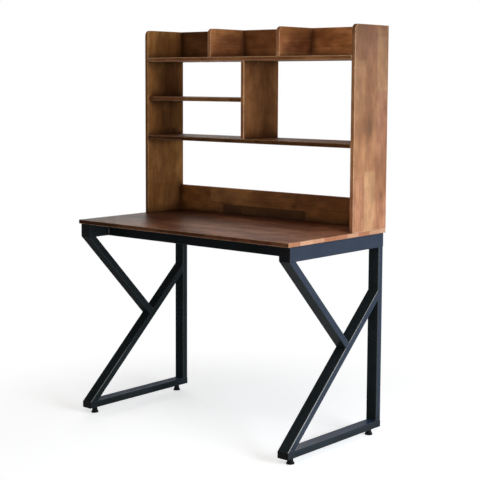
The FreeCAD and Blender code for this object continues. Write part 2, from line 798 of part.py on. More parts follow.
def build_caps(hardware: Hardware) -> None:
    """Make the caps that close the ends of the top and bottom rails."""
    rails = {"top": (TOP_RAIL_FOOT, "top_rail_height"), "bottom": (FRAME_FOOT, "tube_thick")}
    gap = "(tube_wall + wood_fit)"
    for side in SIDES:
        x = frame_start(side)
        for level, (foot, height) in rails.items():
            for end in ENDS:
                flange_y = FRAME_FRONT if end == "front" else f"({FRAME_BACK} - cap_thick)"
                plug_y = "cap_thick" if end == "front" else "(-cap_plug)"
                label = f"{side}_{level}_{end}_cap"
                flange = Tube(label, (x, flange_y, foot), ("tube_width", "cap_thick", height))
                body = flange.start()
                round_edges(body, flange.runs_along, "tube_corner")
                plug = body.newObject("PartDesign::AdditiveBox", new_name(f"{body.Name}_plug"))
                bind(plug, Length=f"tube_width - 2 * {gap}", Width="cap_plug")
                bind(plug, Height=f"{height} - 2 * {gap}")
                place(plug, (gap, plug_y, gap))
                round_edges(body, flange.runs_along, "tube_corner - tube_wall")
                hardware.add("tube_caps", body)


def build_feet(tubes: dict[str, Tube], hardware: Hardware) -> None:
    """Make the four levelling feet and the weld nuts that their studs turn in."""
    for side, way in SIDES.items():
        x = signed(way, FRAME_MIDDLE)
        for end in ENDS:
            y = f"({FRAME_FRONT} + foot_setback)" if end == "front" else f"({FRAME_BACK} - foot_setback)"
            wall = (x, y, FRAME_FOOT)
            rail = tubes[f"{side}_bottom_rail"]
            rail.drill(wall, "+z", "stud_radius + steel_fit", "tube_wall + cut_overrun")
            hardware.nut("foot_nuts", along(wall, "+z", "tube_wall"), "+z", "stud_radius + running_fit")
            build_pad(f"foot_pad_{end}_{side}", (x, y, "0"))
            build_stud(f"foot_stud_{end}_{side}", x, y)


def build_pad(label: str, at: Point) -> None:
    """Turn a foot pad: a flared base with a socket for the stud's pin."""
    body = doc.addObject("PartDesign::Body", label)
    place(body, at)
    sketch = body.newObject("Sketcher::SketchObject", label + "_profile")
    plane = next(item for item in body.Origin.OriginFeatures if item.Role == "XZ_Plane")
    sketch.AttachmentSupport = [(plane, "")]
    sketch.MapMode = "FlatFace"
    corners = (
        ("", ""),
        ("foot_base_radius", ""),
        ("foot_base_radius", "foot_rim_height"),
        ("foot_neck_radius", "foot_pad_height"),
        ("", "foot_pad_height"),
    )
    draw_profile(sketch, corners)
    turned = body.newObject("PartDesign::Revolution", label + "_turned")
    turned.Profile = sketch
    turned.ReferenceAxis = (sketch, ["V_Axis"])
    turned.Angle = 360
    round_edges(body, lambda edge, box: on_face(edge, box, "-z"), "foot_base_arris")
    socket = body.newObject("PartDesign::SubtractiveCylinder", label + "_socket")
    bind(socket, Radius="foot_pin_radius + running_fit", Height="foot_pin_length + cut_overrun")
    place(socket, ("0", "0", "foot_pad_height - foot_pin_length"))
    keep(body, label)


def draw_profile(sketch, corners: tuple[tuple[str, str], ...]) -> None:
    """Draw a closed outline whose corners are bound to sizes, where an empty name lies on the axis."""
    spots = [Vector(SIZES.get(across, 0), SIZES.get(up, 0), 0) for across, up in corners]
    for number, spot in enumerate(spots):
        sketch.addGeometry(Part.LineSegment(spot, spots[(number + 1) % len(spots)]), False)
    for number in range(len(spots)):
        following = (number + 1) % len(spots)
        sketch.addConstraint(Sketcher.Constraint("Coincident", number, 2, following, 1))
    for number, (across, up) in enumerate(corners):
        for kind, alias, axis in (("DistanceX", across, -2), ("DistanceY", up, -1)):
            if alias:
                limit = Sketcher.Constraint(kind, -1, 1, number, 1, SIZES[alias])
                index = sketch.addConstraint(limit)
                sketch.setExpression(f"Constraints[{index}]", sheet_words(alias))
            else:
                sketch.addConstraint(Sketcher.Constraint("PointOnObject", number, 1, axis))


def build_stud(label: str, x: str, y: str) -> None:
    """Make a foot's stud: a pin in the pad, a six-sided collar and the threaded shank."""
    collar_foot = (x, y, "(foot_pad_height + foot_play)")
    collar = hexagon("collar", collar_foot, "+z", "foot_collar_flats", "foot_collar_height")
    pin = rod("pin", collar_foot, "-z", "foot_pin_radius", "foot_pin_length")
    shank = rod("shank", collar_foot, "+z", "stud_radius", "foot_collar_height + foot_play + stud_length")
    keep(joined("stud", [pin, collar, shank]), label)


def check_document() -> None:
    """Stop if any object failed, or any sub-part has no valid solid."""
    for item in doc.Objects:
        if "Invalid" in item.State or "Error" in item.State:
            raise RuntimeError(f"{item.Label} failed: {item.State}")
    for item in nodes:
        if item.Shape.isNull() or not item.Shape.isValid() or not item.Shape.Solids:
            raise RuntimeError(f"{item.Label} has no valid solid")


def main() -> None:
    """Build the document and write each sub-part."""
    write_sheet()
    hardware = Hardware()
    boards = make_boards()
    tubes = make_tubes()
    join_hutch(boards, hardware)
    screw_hutch(boards, hardware)
    join_frames(boards, tubes, hardware)
    build_feet(tubes, hardware)
    for piece in list(boards.values()) + list(tubes.values()):
        piece.build()
    build_braces()
    build_caps(hardware)
    hardware.build()
    doc.recompute()
    check_document()
    os.makedirs("parts", exist_ok=True)
    for item in nodes:
        item.Shape.exportStep(f"parts/{item.Label}.step")
        print(f"{item.Label}: {len(item.Shape.Solids)} solids, {item.Shape.Volume:.0f} mm3")


main()
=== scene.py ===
"""The looks of a student desk with hutch: its boards, steel frames, hardware and feet."""

import logging
import math
from dataclasses import dataclass
from enum import Enum
from typing import Callable

import bmesh
import bpy
from mathutils import Matrix, Vector


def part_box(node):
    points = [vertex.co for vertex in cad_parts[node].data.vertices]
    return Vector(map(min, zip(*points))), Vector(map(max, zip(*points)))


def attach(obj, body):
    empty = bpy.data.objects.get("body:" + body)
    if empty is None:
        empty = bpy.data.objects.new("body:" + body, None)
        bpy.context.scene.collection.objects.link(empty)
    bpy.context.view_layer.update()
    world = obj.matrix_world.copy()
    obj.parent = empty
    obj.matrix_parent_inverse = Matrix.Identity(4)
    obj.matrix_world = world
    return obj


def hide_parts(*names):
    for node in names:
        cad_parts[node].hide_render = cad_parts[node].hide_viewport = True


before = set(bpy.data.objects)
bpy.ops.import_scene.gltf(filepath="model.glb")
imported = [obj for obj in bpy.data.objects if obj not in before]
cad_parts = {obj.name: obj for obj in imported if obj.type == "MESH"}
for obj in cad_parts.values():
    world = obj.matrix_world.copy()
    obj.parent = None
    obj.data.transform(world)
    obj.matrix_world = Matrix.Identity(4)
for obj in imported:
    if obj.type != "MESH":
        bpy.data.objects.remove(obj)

Colour = tuple[float, float, float]
Place = tuple[float, float, float]
Span = tuple[float, float]
Socket = bpy.types.NodeSocket
Sockets = dict[str, Socket]
Fed = Socket | float | tuple
LOG = logging.getLogger("desk")
ROOT = "desk"
AXES = "xyz"


class Lay(Enum):
    """How a board lies: the row axes along its grain, across it and through its thickness."""

    FLAT = "xyz"
    UPRIGHT = "zyx"
    DEEP = "yzx"
    BACK = "xzy"

    def _axis(self, which: int) -> Place:
        """Return one of the three row axes as a vector."""
        return tuple(1.0 if axis == self.value[which] else 0.0 for axis in AXES)

    @property
    def grain(self) -> Place:
        """The row axis that the grain runs along."""
        return self._axis(0)

    @property
    def across(self) -> Place:
        """The row axis across the grain, which the board's long edges look along."""
        return self._axis(1)

    @property
    def broad(self) -> Place:
        """The row axis that the board's broad faces look along."""
        return self._axis(2)


class Spelled(Enum):
    """A choice whose name the nodes spell in small letters."""

    @property
    def word(self) -> str:
        """The name as the nodes spell it."""
        return self.name.lower()


class Side(Spelled):
    """The two sides of the desk and the way that each lies along X."""

    LEFT = -1
    RIGHT = 1


class End(Spelled):
    """The two ends of a side frame and the way that each lies along Y."""

    FRONT = -1
    REAR = 1


class Effect(Enum):
    """The shader effects that several finishes share."""

    STAVES = "Stave layout"
    GRAIN = "Wood grain"
    KNOT = "Knot"
    WEAR = "Edge wear"
    NOOK = "Inner corner"
    MOTTLE = "Mottle"
    PEEL = "Powder skin"
    FACING = "Facing"


def srgb(red: float, green: float, blue: float) -> Colour:
    """Turn a screen colour into the linear colour that shaders take.

    Args:
        red: Red, 0 to 255.
        green: Green, 0 to 255.
        blue: Blue, 0 to 255.

    Returns:
        The linear colour.
    """
    shares = (red / 255, green / 255, blue / 255)
    return tuple(c / 12.92 if c <= 0.04045 else ((c + 0.055) / 1.055) ** 2.4 for c in shares)


class Graph:
    """A short way to write shader nodes into one node tree."""

    columns = 12
    column_width = 190
    row_height = 240

    def __init__(self, tree: bpy.types.NodeTree) -> None:
        """Take the tree to write into."""
        self.tree = tree

    def add(self, kind: str, **settings: object) -> bpy.types.Node:
        """Add a node.

        Args:
            kind: The node's type name.
            settings: Properties of the node and their values.

        Returns:
            The new node.
        """
        node = self.tree.nodes.new(kind)
        row, column = divmod(len(self.tree.nodes), self.columns)
        node.location = (self.column_width * column, -self.row_height * row)
        for name, value in settings.items():
            setattr(node, name, value)
        return node

    def feed(self, socket: Socket, value: Fed) -> None:
        """Link a socket to another one, or set its own value.

        Args:
            socket: The input socket.
            value: The socket that feeds it, or its value.
        """
        if isinstance(value, Socket):
            self.tree.links.new(value, socket)
            return
        wide = socket.type == "RGBA" and len(value) == 3
        socket.default_value = (*value, 1.0) if wide else value

    def math(self, operation: str, *values: Fed, clamp: bool = False) -> Socket:
        """Add a sum of one to three numbers.

        Args:
            operation: The Math node's operation.
            values: Sockets or numbers.
            clamp: True to hold the result between 0 and 1.

        Returns:
            The result's socket.
        """
        node = self.add("ShaderNodeMath", operation=operation, use_clamp=clamp)
        for socket, value in zip(node.inputs, values):
            self.feed(socket, value)
        return node.outputs[0]

    def times(self, first: Fed, second: Fed) -> Socket:
        """Return the product of two numbers."""
        return self.math("MULTIPLY", first, second)

    def lift(self, base: Fed, value: Fed, share: Fed, clamp: bool = False) -> Socket:
        """Raise a base by a share of a value.

        Args:
            base: The number to start from.
            value: The number that raises it.
            share: The share of that number, below zero to lower the base.
            clamp: True to hold the result between 0 and 1.

        Returns:
            The result's socket.
        """
        return self.math("MULTIPLY_ADD", value, share, base, clamp=clamp)

    def vector(self, operation: str, *values: Fed) -> Socket:
        """Add a sum of vectors.

        Args:
            operation: The Vector Math node's operation.
            values: Sockets or vectors.

        Returns:
            The result's socket, a number for a dot product or a length.
        """
        node = self.add("ShaderNodeVectorMath", operation=operation)
        sockets = [socket for socket in node.inputs if socket.enabled]
        for socket, value in zip(sockets, values):
            self.feed(socket, value)
        return node.outputs["Value" if operation in ("DOT_PRODUCT", "LENGTH") else "Vector"]

    def split(self, vector: Socket) -> tuple[Socket, ...]:
        """Take a vector apart.

        Args:
            vector: The vector's socket.

        Returns:
            The sockets of its three parts.
        """
        node = self.add("ShaderNodeSeparateXYZ")
        self.feed(node.inputs[0], vector)
        return tuple(node.outputs)

    def join(self, *parts: Fed) -> Socket:
        """Make a vector.

        Args:
            parts: Its three parts.

        Returns:
            The vector's socket.
        """
        node = self.add("ShaderNodeCombineXYZ")
        for socket, value in zip(node.inputs, parts):
            self.feed(socket, value)
        return node.outputs[0]

    def ramp(self, value: Fed, low: Fed, high: Fed, start: Fed = 0.0, end: Fed = 1.0) -> Socket:
        """Ease a number from one range into another.

        Args:
            value: The number.
            low: Where the ramp starts.
            high: Where the ramp ends.
            start: The result at its start.
            end: The result at its end.

        Returns:
            The eased number's socket.
        """
        node = self.add("ShaderNodeMapRange", interpolation_type="SMOOTHSTEP")
        for socket, fed in zip(node.inputs, (value, low, high, start, end)):
            self.feed(socket, fed)
        return node.outputs[0]

    def fall(self, value: Fed, low: Fed, high: Fed, start: Fed = 1.0) -> Socket:
        """Return a number that eases down to zero over a range."""
        return self.ramp(value, low, high, start, 0.0)

    def blend(self, share: Fed, first: Fed, second: Fed, mode: str = "MIX") -> Socket:
        """Mix two colours.

        Args:
            share: The share of the second colour.
            first: The colour underneath.
            second: The colour on top.
            mode: The Mix node's blend type.

        Returns:
            The mixed colour's socket.
        """
        node = self.add("ShaderNodeMix", data_type="RGBA", blend_type=mode)
        sockets = {socket.identifier: socket for socket in node.inputs}
        self.feed(sockets["Factor_Float"], share)
        self.feed(sockets["A_Color"], first)
        self.feed(sockets["B_Color"], second)
        return next(socket for socket in node.outputs if socket.identifier == "Result_Color")

    def tint(self, colour: Fed, over: Fed, mask: Fed, share: Fed) -> Socket:
        """Return a colour with another laid over a share of a mask."""
        return self.blend(self.times(mask, share), colour, over)

    def noise(self, vector: Fed, scale: Fed, detail: float = 2.0, roughness: float = 0.5) -> Socket:
        """Make a smooth random number over space, around a half.

        Args:
            vector: The place.
            scale: Waves in a metre.
            detail: Finer layers.
            roughness: How strong the finer layers are.

        Returns:
            The number's socket.
        """
        node = self.add("ShaderNodeTexNoise")
        inputs = {"Vector": vector, "Scale": scale, "Detail": detail, "Roughness": roughness}
        for name, value in inputs.items():
            self.feed(node.inputs[name], value)
        return node.outputs["Fac"]

    def bump(self, height: Socket, depth: float, strength: float, under: Socket | None = None) -> Socket:
        """Bend a normal by a height.

        Args:
            height: The height, about 0 to 1.
            depth: The depth of a height of 1, in metres.
            strength: How much of it shows.
            under: The normal that it bends, or None for the surface's own.

        Returns:
            The bent normal's socket.
        """
        node = self.add("ShaderNodeBump")
        self.feed(node.inputs["Strength"], strength)
        self.feed(node.inputs["Distance"], depth)
        self.feed(node.inputs["Height"], height)
        if under is not None:
            self.feed(node.inputs["Normal"], under)
        return node.outputs[0]


class Effects:
    """The shared shader node groups, each built once and placed in any number of materials."""

    def __init__(self) -> None:
        """Name the maker of each group; none is built yet."""
        self._built: dict[Effect, bpy.types.NodeTree] = {}
        self._makers: dict[Effect, Callable[[], bpy.types.NodeTree]] = {
            Effect.STAVES: self._staves,
            Effect.GRAIN: self._grain,
            Effect.KNOT: self._knot,
            Effect.WEAR: self._wear,
            Effect.NOOK: self._nook,
            Effect.MOTTLE: self._mottle,
            Effect.PEEL: self._peel,
            Effect.FACING: self._facing,
        }

    def place(self, graph: Graph, effect: Effect, **inputs: Fed) -> Sockets:
        """Put an effect into a material.

        Args:
            graph: The material's graph.
            effect: The effect.
            inputs: Its inputs by name, with _ for a space.

        Returns:
            The effect's outputs by name.
        """
        if effect not in self._built:
            self._built[effect] = self._makers[effect]()
        node = graph.add("ShaderNodeGroup", node_tree=self._built[effect])
        for name, value in inputs.items():
            graph.feed(node.inputs[name.replace("_", " ").title()], value)
        return {socket.name: socket for socket in node.outputs}

    @staticmethod
    def _start(
        effect: Effect, inputs: dict[str, float | None], outputs: tuple[str, ...]
    ) -> tuple[Graph, Sockets, Sockets]:
        """Start a group.

        Args:
            effect: The effect that it makes.
            inputs: Input names, each with its default number, or None for a vector.
            outputs: Output names; one that ends in Vector is a vector.

        Returns:
            The graph, the input sockets and the output sockets by name.
        """
        tree = bpy.data.node_groups.new(effect.value, "ShaderNodeTree")
        for name, default in inputs.items():
            kind = "NodeSocketVector" if default is None else "NodeSocketFloat"
            socket = tree.interface.new_socket(name, in_out="INPUT", socket_type=kind)
            if default is not None:
                socket.default_value = default
        for name in outputs:
            kind = "NodeSocketVector" if name.endswith("Vector") else "NodeSocketFloat"
            tree.interface.new_socket(name, in_out="OUTPUT", socket_type=kind)
        graph = Graph(tree)
        start = graph.add("NodeGroupInput")
        end = graph.add("NodeGroupOutput")
        taken = {socket.name: socket for socket in start.outputs if socket.name}
        given = {socket.name: socket for socket in end.inputs if socket.name}
        return graph, taken, given

    def _staves(self) -> bpy.types.NodeTree:
        """Build the layout of glued staves, with finger joints at random places along each row.

        Returns:
            The group.
        """
        tooth = 0.0022
        tooth_reach = 3.2
        row_shift = 9.7
        figure_shift = 37.0
        stretch_least = 0.75
        stretch_more = 0.5
        row_glue = (0.0001, 0.0008)
        end_glue = (0.0001, 0.0009)
        end_share = 0.7
        inputs = {"Vector": None, "Width": 0.055, "Length": 0.32, "Seed": 0.0}
        outputs = ("Tone", "Shade", "Joint", "Grain Vector", "Pith Vector")
        graph, taken, given = self._start(Effect.STAVES, inputs, outputs)
        along, across, through = graph.split(taken["Vector"])
        row_place = graph.math("ADD", graph.math("DIVIDE", across, taken["Width"]), taken["Seed"])
        row = graph.math("FLOOR", row_place)
        in_row = graph.math("FRACT", row_place)
        row_noise = graph.add("ShaderNodeTexWhiteNoise", noise_dimensions="2D")
        graph.feed(row_noise.inputs["Vector"], graph.join(row, taken["Seed"], 0.0))
        row_luck = row_noise.outputs["Value"]
        teeth = graph.times(graph.math("PINGPONG", across, tooth), tooth_reach)
        stave_place = graph.math("DIVIDE", graph.math("ADD", along, teeth), taken["Length"])
        stave_place = graph.times(stave_place, graph.lift(stretch_least, row_luck, stretch_more))
        stave_place = graph.lift(stave_place, row_luck, row_shift)
        stave = graph.math("FLOOR", stave_place)
        in_stave = graph.math("FRACT", stave_place)
        luck = graph.add("ShaderNodeTexWhiteNoise", noise_dimensions="3D")
        graph.feed(luck.inputs["Vector"], graph.join(row, stave, taken["Seed"]))
        tone, shade, turn = graph.split(luck.outputs["Color"])
        row_edge = graph.times(graph.math("PINGPONG", in_row, 0.5), taken["Width"])
        end_edge = graph.times(graph.math("PINGPONG", in_stave, 0.5), taken["Length"])
        row_line = graph.fall(row_edge, *row_glue)
        end_line = graph.fall(end_edge, *end_glue, end_share)
        local = graph.times(graph.math("SUBTRACT", in_row, 0.5), taken["Width"])
        graph.feed(given["Tone"], tone)
        graph.feed(given["Shade"], shade)
        graph.feed(given["Joint"], graph.math("MAXIMUM", row_line, end_line))
        graph.feed(given["Grain Vector"], graph.join(graph.lift(along, turn, figure_shift), local, through))
        graph.feed(given["Pith Vector"], luck.outputs["Color"])
        return graph.tree

    def _grain(self) -> bpy.types.NodeTree:
        """Build growth rings around a pith outside the stave, fibres along it and short pores.

        Returns:
            The group.
        """
        pith_across = (-0.045, 0.09)
        pith_deep = (0.012, 0.06)
        sway_draw = 0.16
        sway_waves = 14.0
        sway_reach = 0.045
        ripple_draw = 0.12
        ripple_waves = 160.0
        ripple_share = 0.9
        ring_power = 1.4
        ring_gain = 2.6
        fibre_draw = 0.022
        fibre_waves = 620.0
        pore_draw = 0.045
        pore_waves = 1500.0
        pore_reach = (0.60, 0.70)
        inputs = {"Vector": None, "Pith": None, "Spacing": 0.0055}
        graph, taken, given = self._start(Effect.GRAIN, inputs, ("Rings", "Fibre", "Pores"))
        along, across, through = graph.split(taken["Vector"])
        pith_x, pith_y, _ = graph.split(taken["Pith"])

        def drawn(share: float) -> Socket:
            """Return the place drawn out along the grain."""
            return graph.join(graph.times(along, share), across, through)

        def pith(span: Span, luck: Socket) -> Socket:
            """Return how far away the pith lies one way."""
            return graph.lift(span[0], luck, span[1])

        sway = graph.math("SUBTRACT", graph.noise(drawn(sway_draw), sway_waves), 0.5)
        away = graph.math("ADD", across, pith(pith_across, pith_x))
        deep = graph.math("ADD", through, pith(pith_deep, pith_y))
        deep = graph.math("ADD", deep, graph.times(sway, sway_reach))
        radius = graph.vector("LENGTH", graph.join(away, deep, 0.0))
        ripple = graph.noise(drawn(ripple_draw), ripple_waves, detail=3.0)
        phase = graph.lift(graph.math("DIVIDE", radius, taken["Spacing"]), ripple, ripple_share)
        rings = graph.math("POWER", graph.math("PINGPONG", phase, 0.5), ring_power)
        pores = graph.noise(drawn(pore_draw), pore_waves, detail=1.0)
        graph.feed(given["Rings"], graph.math("MULTIPLY", rings, ring_gain, clamp=True))
        graph.feed(given["Fibre"], graph.noise(drawn(fibre_draw), fibre_waves, detail=3.0, roughness=0.6))
        graph.feed(given["Pores"], graph.ramp(pores, *pore_reach))
        return graph.tree

    def _knot(self) -> bpy.types.NodeTree:
        """Build one knot: a dark heart in a halo, drawn out along the grain.

        Returns:
            The group.
        """
        draw = 0.45
        wobble_waves = 45.0
        wobble_reach = 0.012
        heart_reach = (0.12, 0.50)
        halo_reach = (0.35, 1.10)
        inputs = {"Vector": None, "Centre": None, "Size": 0.02}
        graph, taken, given = self._start(Effect.KNOT, inputs, ("Heart", "Halo"))
        along, across, _ = graph.split(graph.vector("SUBTRACT", taken["Vector"], taken["Centre"]))
        wobble = graph.math("SUBTRACT", graph.noise(taken["Vector"], wobble_waves), 0.5)
        far = graph.vector("LENGTH", graph.join(graph.times(along, draw), across, 0.0))
        share = graph.math("DIVIDE", graph.lift(far, wobble, wobble_reach), taken["Size"])
        graph.feed(given["Heart"], graph.fall(share, *heart_reach))
        graph.feed(given["Halo"], graph.fall(share, *halo_reach))
        return graph.tree

    def _wear(self) -> bpy.types.NodeTree:
        """Build the rubbed arris: where the rounded normal leaves the face's own, in patches.

        Returns:
            The group.
        """
        bend_reach = (0.008, 0.09)
        patch_waves = 38.0
        patch_reach = (0.30, 0.66)
        inputs = {"Vector": None, "Width": 0.003, "Patches": 0.5}
        graph, taken, given = self._start(Effect.WEAR, inputs, ("Wear", "Rounded Vector"))
        rounded = graph.add("ShaderNodeBevel", samples=6)
        graph.feed(rounded.inputs["Radius"], taken["Width"])
        flat = graph.add("ShaderNodeNewGeometry")
        same = graph.vector("DOT_PRODUCT", rounded.outputs[0], flat.outputs["True Normal"])
        edge = graph.ramp(graph.math("SUBTRACT", 1.0, same), *bend_reach)
        patch = graph.noise(taken["Vector"], patch_waves, detail=3.0, roughness=0.6)
        patch = graph.ramp(patch, *patch_reach)
        kept = graph.lift(1.0, graph.math("SUBTRACT", patch, 1.0), taken["Patches"])
        graph.feed(given["Wear"], graph.math("MULTIPLY", edge, kept, clamp=True))
        graph.feed(given["Rounded Vector"], rounded.outputs[0])
        return graph.tree

    def _nook(self) -> bpy.types.NodeTree:
        """Build the share of open space over a surface, which is low in inner corners.

        Returns:
            The group.
        """
        graph, taken, given = self._start(Effect.NOOK, {"Reach": 0.045}, ("Clear",))
        nearby = graph.add("ShaderNodeAmbientOcclusion", samples=8)
        graph.feed(nearby.inputs["Distance"], taken["Reach"])
        graph.feed(given["Clear"], nearby.outputs["AO"])
        return graph.tree

    def _mottle(self) -> bpy.types.NodeTree:
        """Build soft blotches, for stain that took unevenly and for handled places.

        Returns:
            The group.
        """
        finer = 3.7
        blotch_reach = (0.28, 0.72)
        smear_reach = (0.25, 0.75)
        inputs = {"Vector": None, "Scale": 9.0}
        graph, taken, given = self._start(Effect.MOTTLE, inputs, ("Blotch", "Smear"))
        blotch = graph.noise(taken["Vector"], taken["Scale"], detail=3.0, roughness=0.55)
        fine_waves = graph.times(taken["Scale"], finer)
        smear = graph.noise(taken["Vector"], fine_waves, detail=4.0, roughness=0.6)
        graph.feed(given["Blotch"], graph.ramp(blotch, *blotch_reach))
        graph.feed(given["Smear"], graph.ramp(smear, *smear_reach))
        return graph.tree

    def _peel(self) -> bpy.types.NodeTree:
        """Build the skin of a baked powder coat: fine orange peel with a slow swell under it.

        Returns:
            The group.
        """
        slower = 0.14
        finer = 2.2
        swell_share = 0.6
        speck_reach = (0.66, 0.74)
        inputs = {"Vector": None, "Scale": 700.0}
        graph, taken, given = self._start(Effect.PEEL, inputs, ("Height", "Speck"))
        peel = graph.noise(taken["Vector"], taken["Scale"], detail=1.0)
        swell = graph.noise(taken["Vector"], graph.times(taken["Scale"], slower), detail=1.0)
        speck = graph.noise(taken["Vector"], graph.times(taken["Scale"], finer), detail=0.0)
        graph.feed(given["Height"], graph.lift(peel, swell, swell_share))
        graph.feed(given["Speck"], graph.ramp(speck, *speck_reach))
        return graph.tree

    def _facing(self) -> bpy.types.NodeTree:
        """Build masks from how far a face turns to one axis.

        Square marks the faces that look along the axis either way, and Outer those that look its own way.
        Corner marks the rounded corners between them and the others, and Rubbed the part of a corner that
        also looks the rubbed way, most of it on the outer side.

        Returns:
            The group.
        """
        square = (0.80, 0.97)
        corner_start = (0.12, 0.45)
        corner_end = (0.80, 0.985)
        rubbed_reach = (0.56, 0.66)
        inner_share = 0.35
        inputs = {"Normal": None, "Axis": None, "Rubbed Way": None}
        graph, taken, given = self._start(Effect.FACING, inputs, ("Square", "Outer", "Corner", "Rubbed"))
        signed = graph.vector("DOT_PRODUCT", taken["Normal"], taken["Axis"])
        turned = graph.math("ABSOLUTE", signed)
        corner = graph.times(graph.ramp(turned, *corner_start), graph.fall(turned, *corner_end))
        rubbed_turn = graph.vector("DOT_PRODUCT", taken["Normal"], taken["Rubbed Way"])
        open_corner = graph.times(corner, graph.ramp(rubbed_turn, *rubbed_reach))
        outer_share = graph.ramp(signed, -0.1, 0.1, inner_share, 1.0)
        graph.feed(given["Square"], graph.ramp(turned, *square))
        graph.feed(given["Outer"], graph.ramp(signed, *square))
        graph.feed(given["Corner"], corner)
        graph.feed(given["Rubbed"], graph.times(open_corner, outer_share))
        return graph.tree


EFFECTS = Effects()


def new_material(name: str) -> tuple[bpy.types.Material, Graph, bpy.types.Node]:
    """Start a material with one Principled shader.

    Args:
        name: The material's name.

    Returns:
        The material, its graph and its shader node.
    """
    material = bpy.data.materials.new(name)
    material.use_nodes = True
    material.node_tree.nodes.clear()
    graph = Graph(material.node_tree)
    end = graph.add("ShaderNodeOutputMaterial")
    shader = graph.add("ShaderNodeBsdfPrincipled")
    graph.feed(end.inputs["Surface"], shader.outputs[0])
    return material, graph, shader


def object_place(graph: Graph) -> Socket:
    """Return the place on the piece itself, in metres, which rides with it."""
    return graph.add("ShaderNodeTexCoord").outputs["Object"]


def object_normal(graph: Graph) -> Socket:
    """Return the way that the surface faces in the piece's own axes."""
    return graph.add("ShaderNodeTexCoord").outputs["Normal"]


@dataclass(frozen=True)
class Knot:
    """A knot, placed from the middle of its board in metres along and across the grain."""

    along: float
    across: float
    size: float
    halo_share: float = 0.45
    heart_share: float = 0.55


@dataclass(frozen=True)
class Heartwood:
    """One stave that is dark at the front, placed from the middle of its board in metres.

    Its ends lie at start and end along the grain, and its edges at low and high across it. Each border
    fades over its own width, and behind is the share of dark that is left at the back.
    """

    start: float
    end: float
    low: float
    high: float
    share: float = 0.75
    behind: float = 0.15
    turn: float = 0.004
    start_fade: float = 0.010
    end_fade: float = 0.004
    edge_fade: float = 0.003


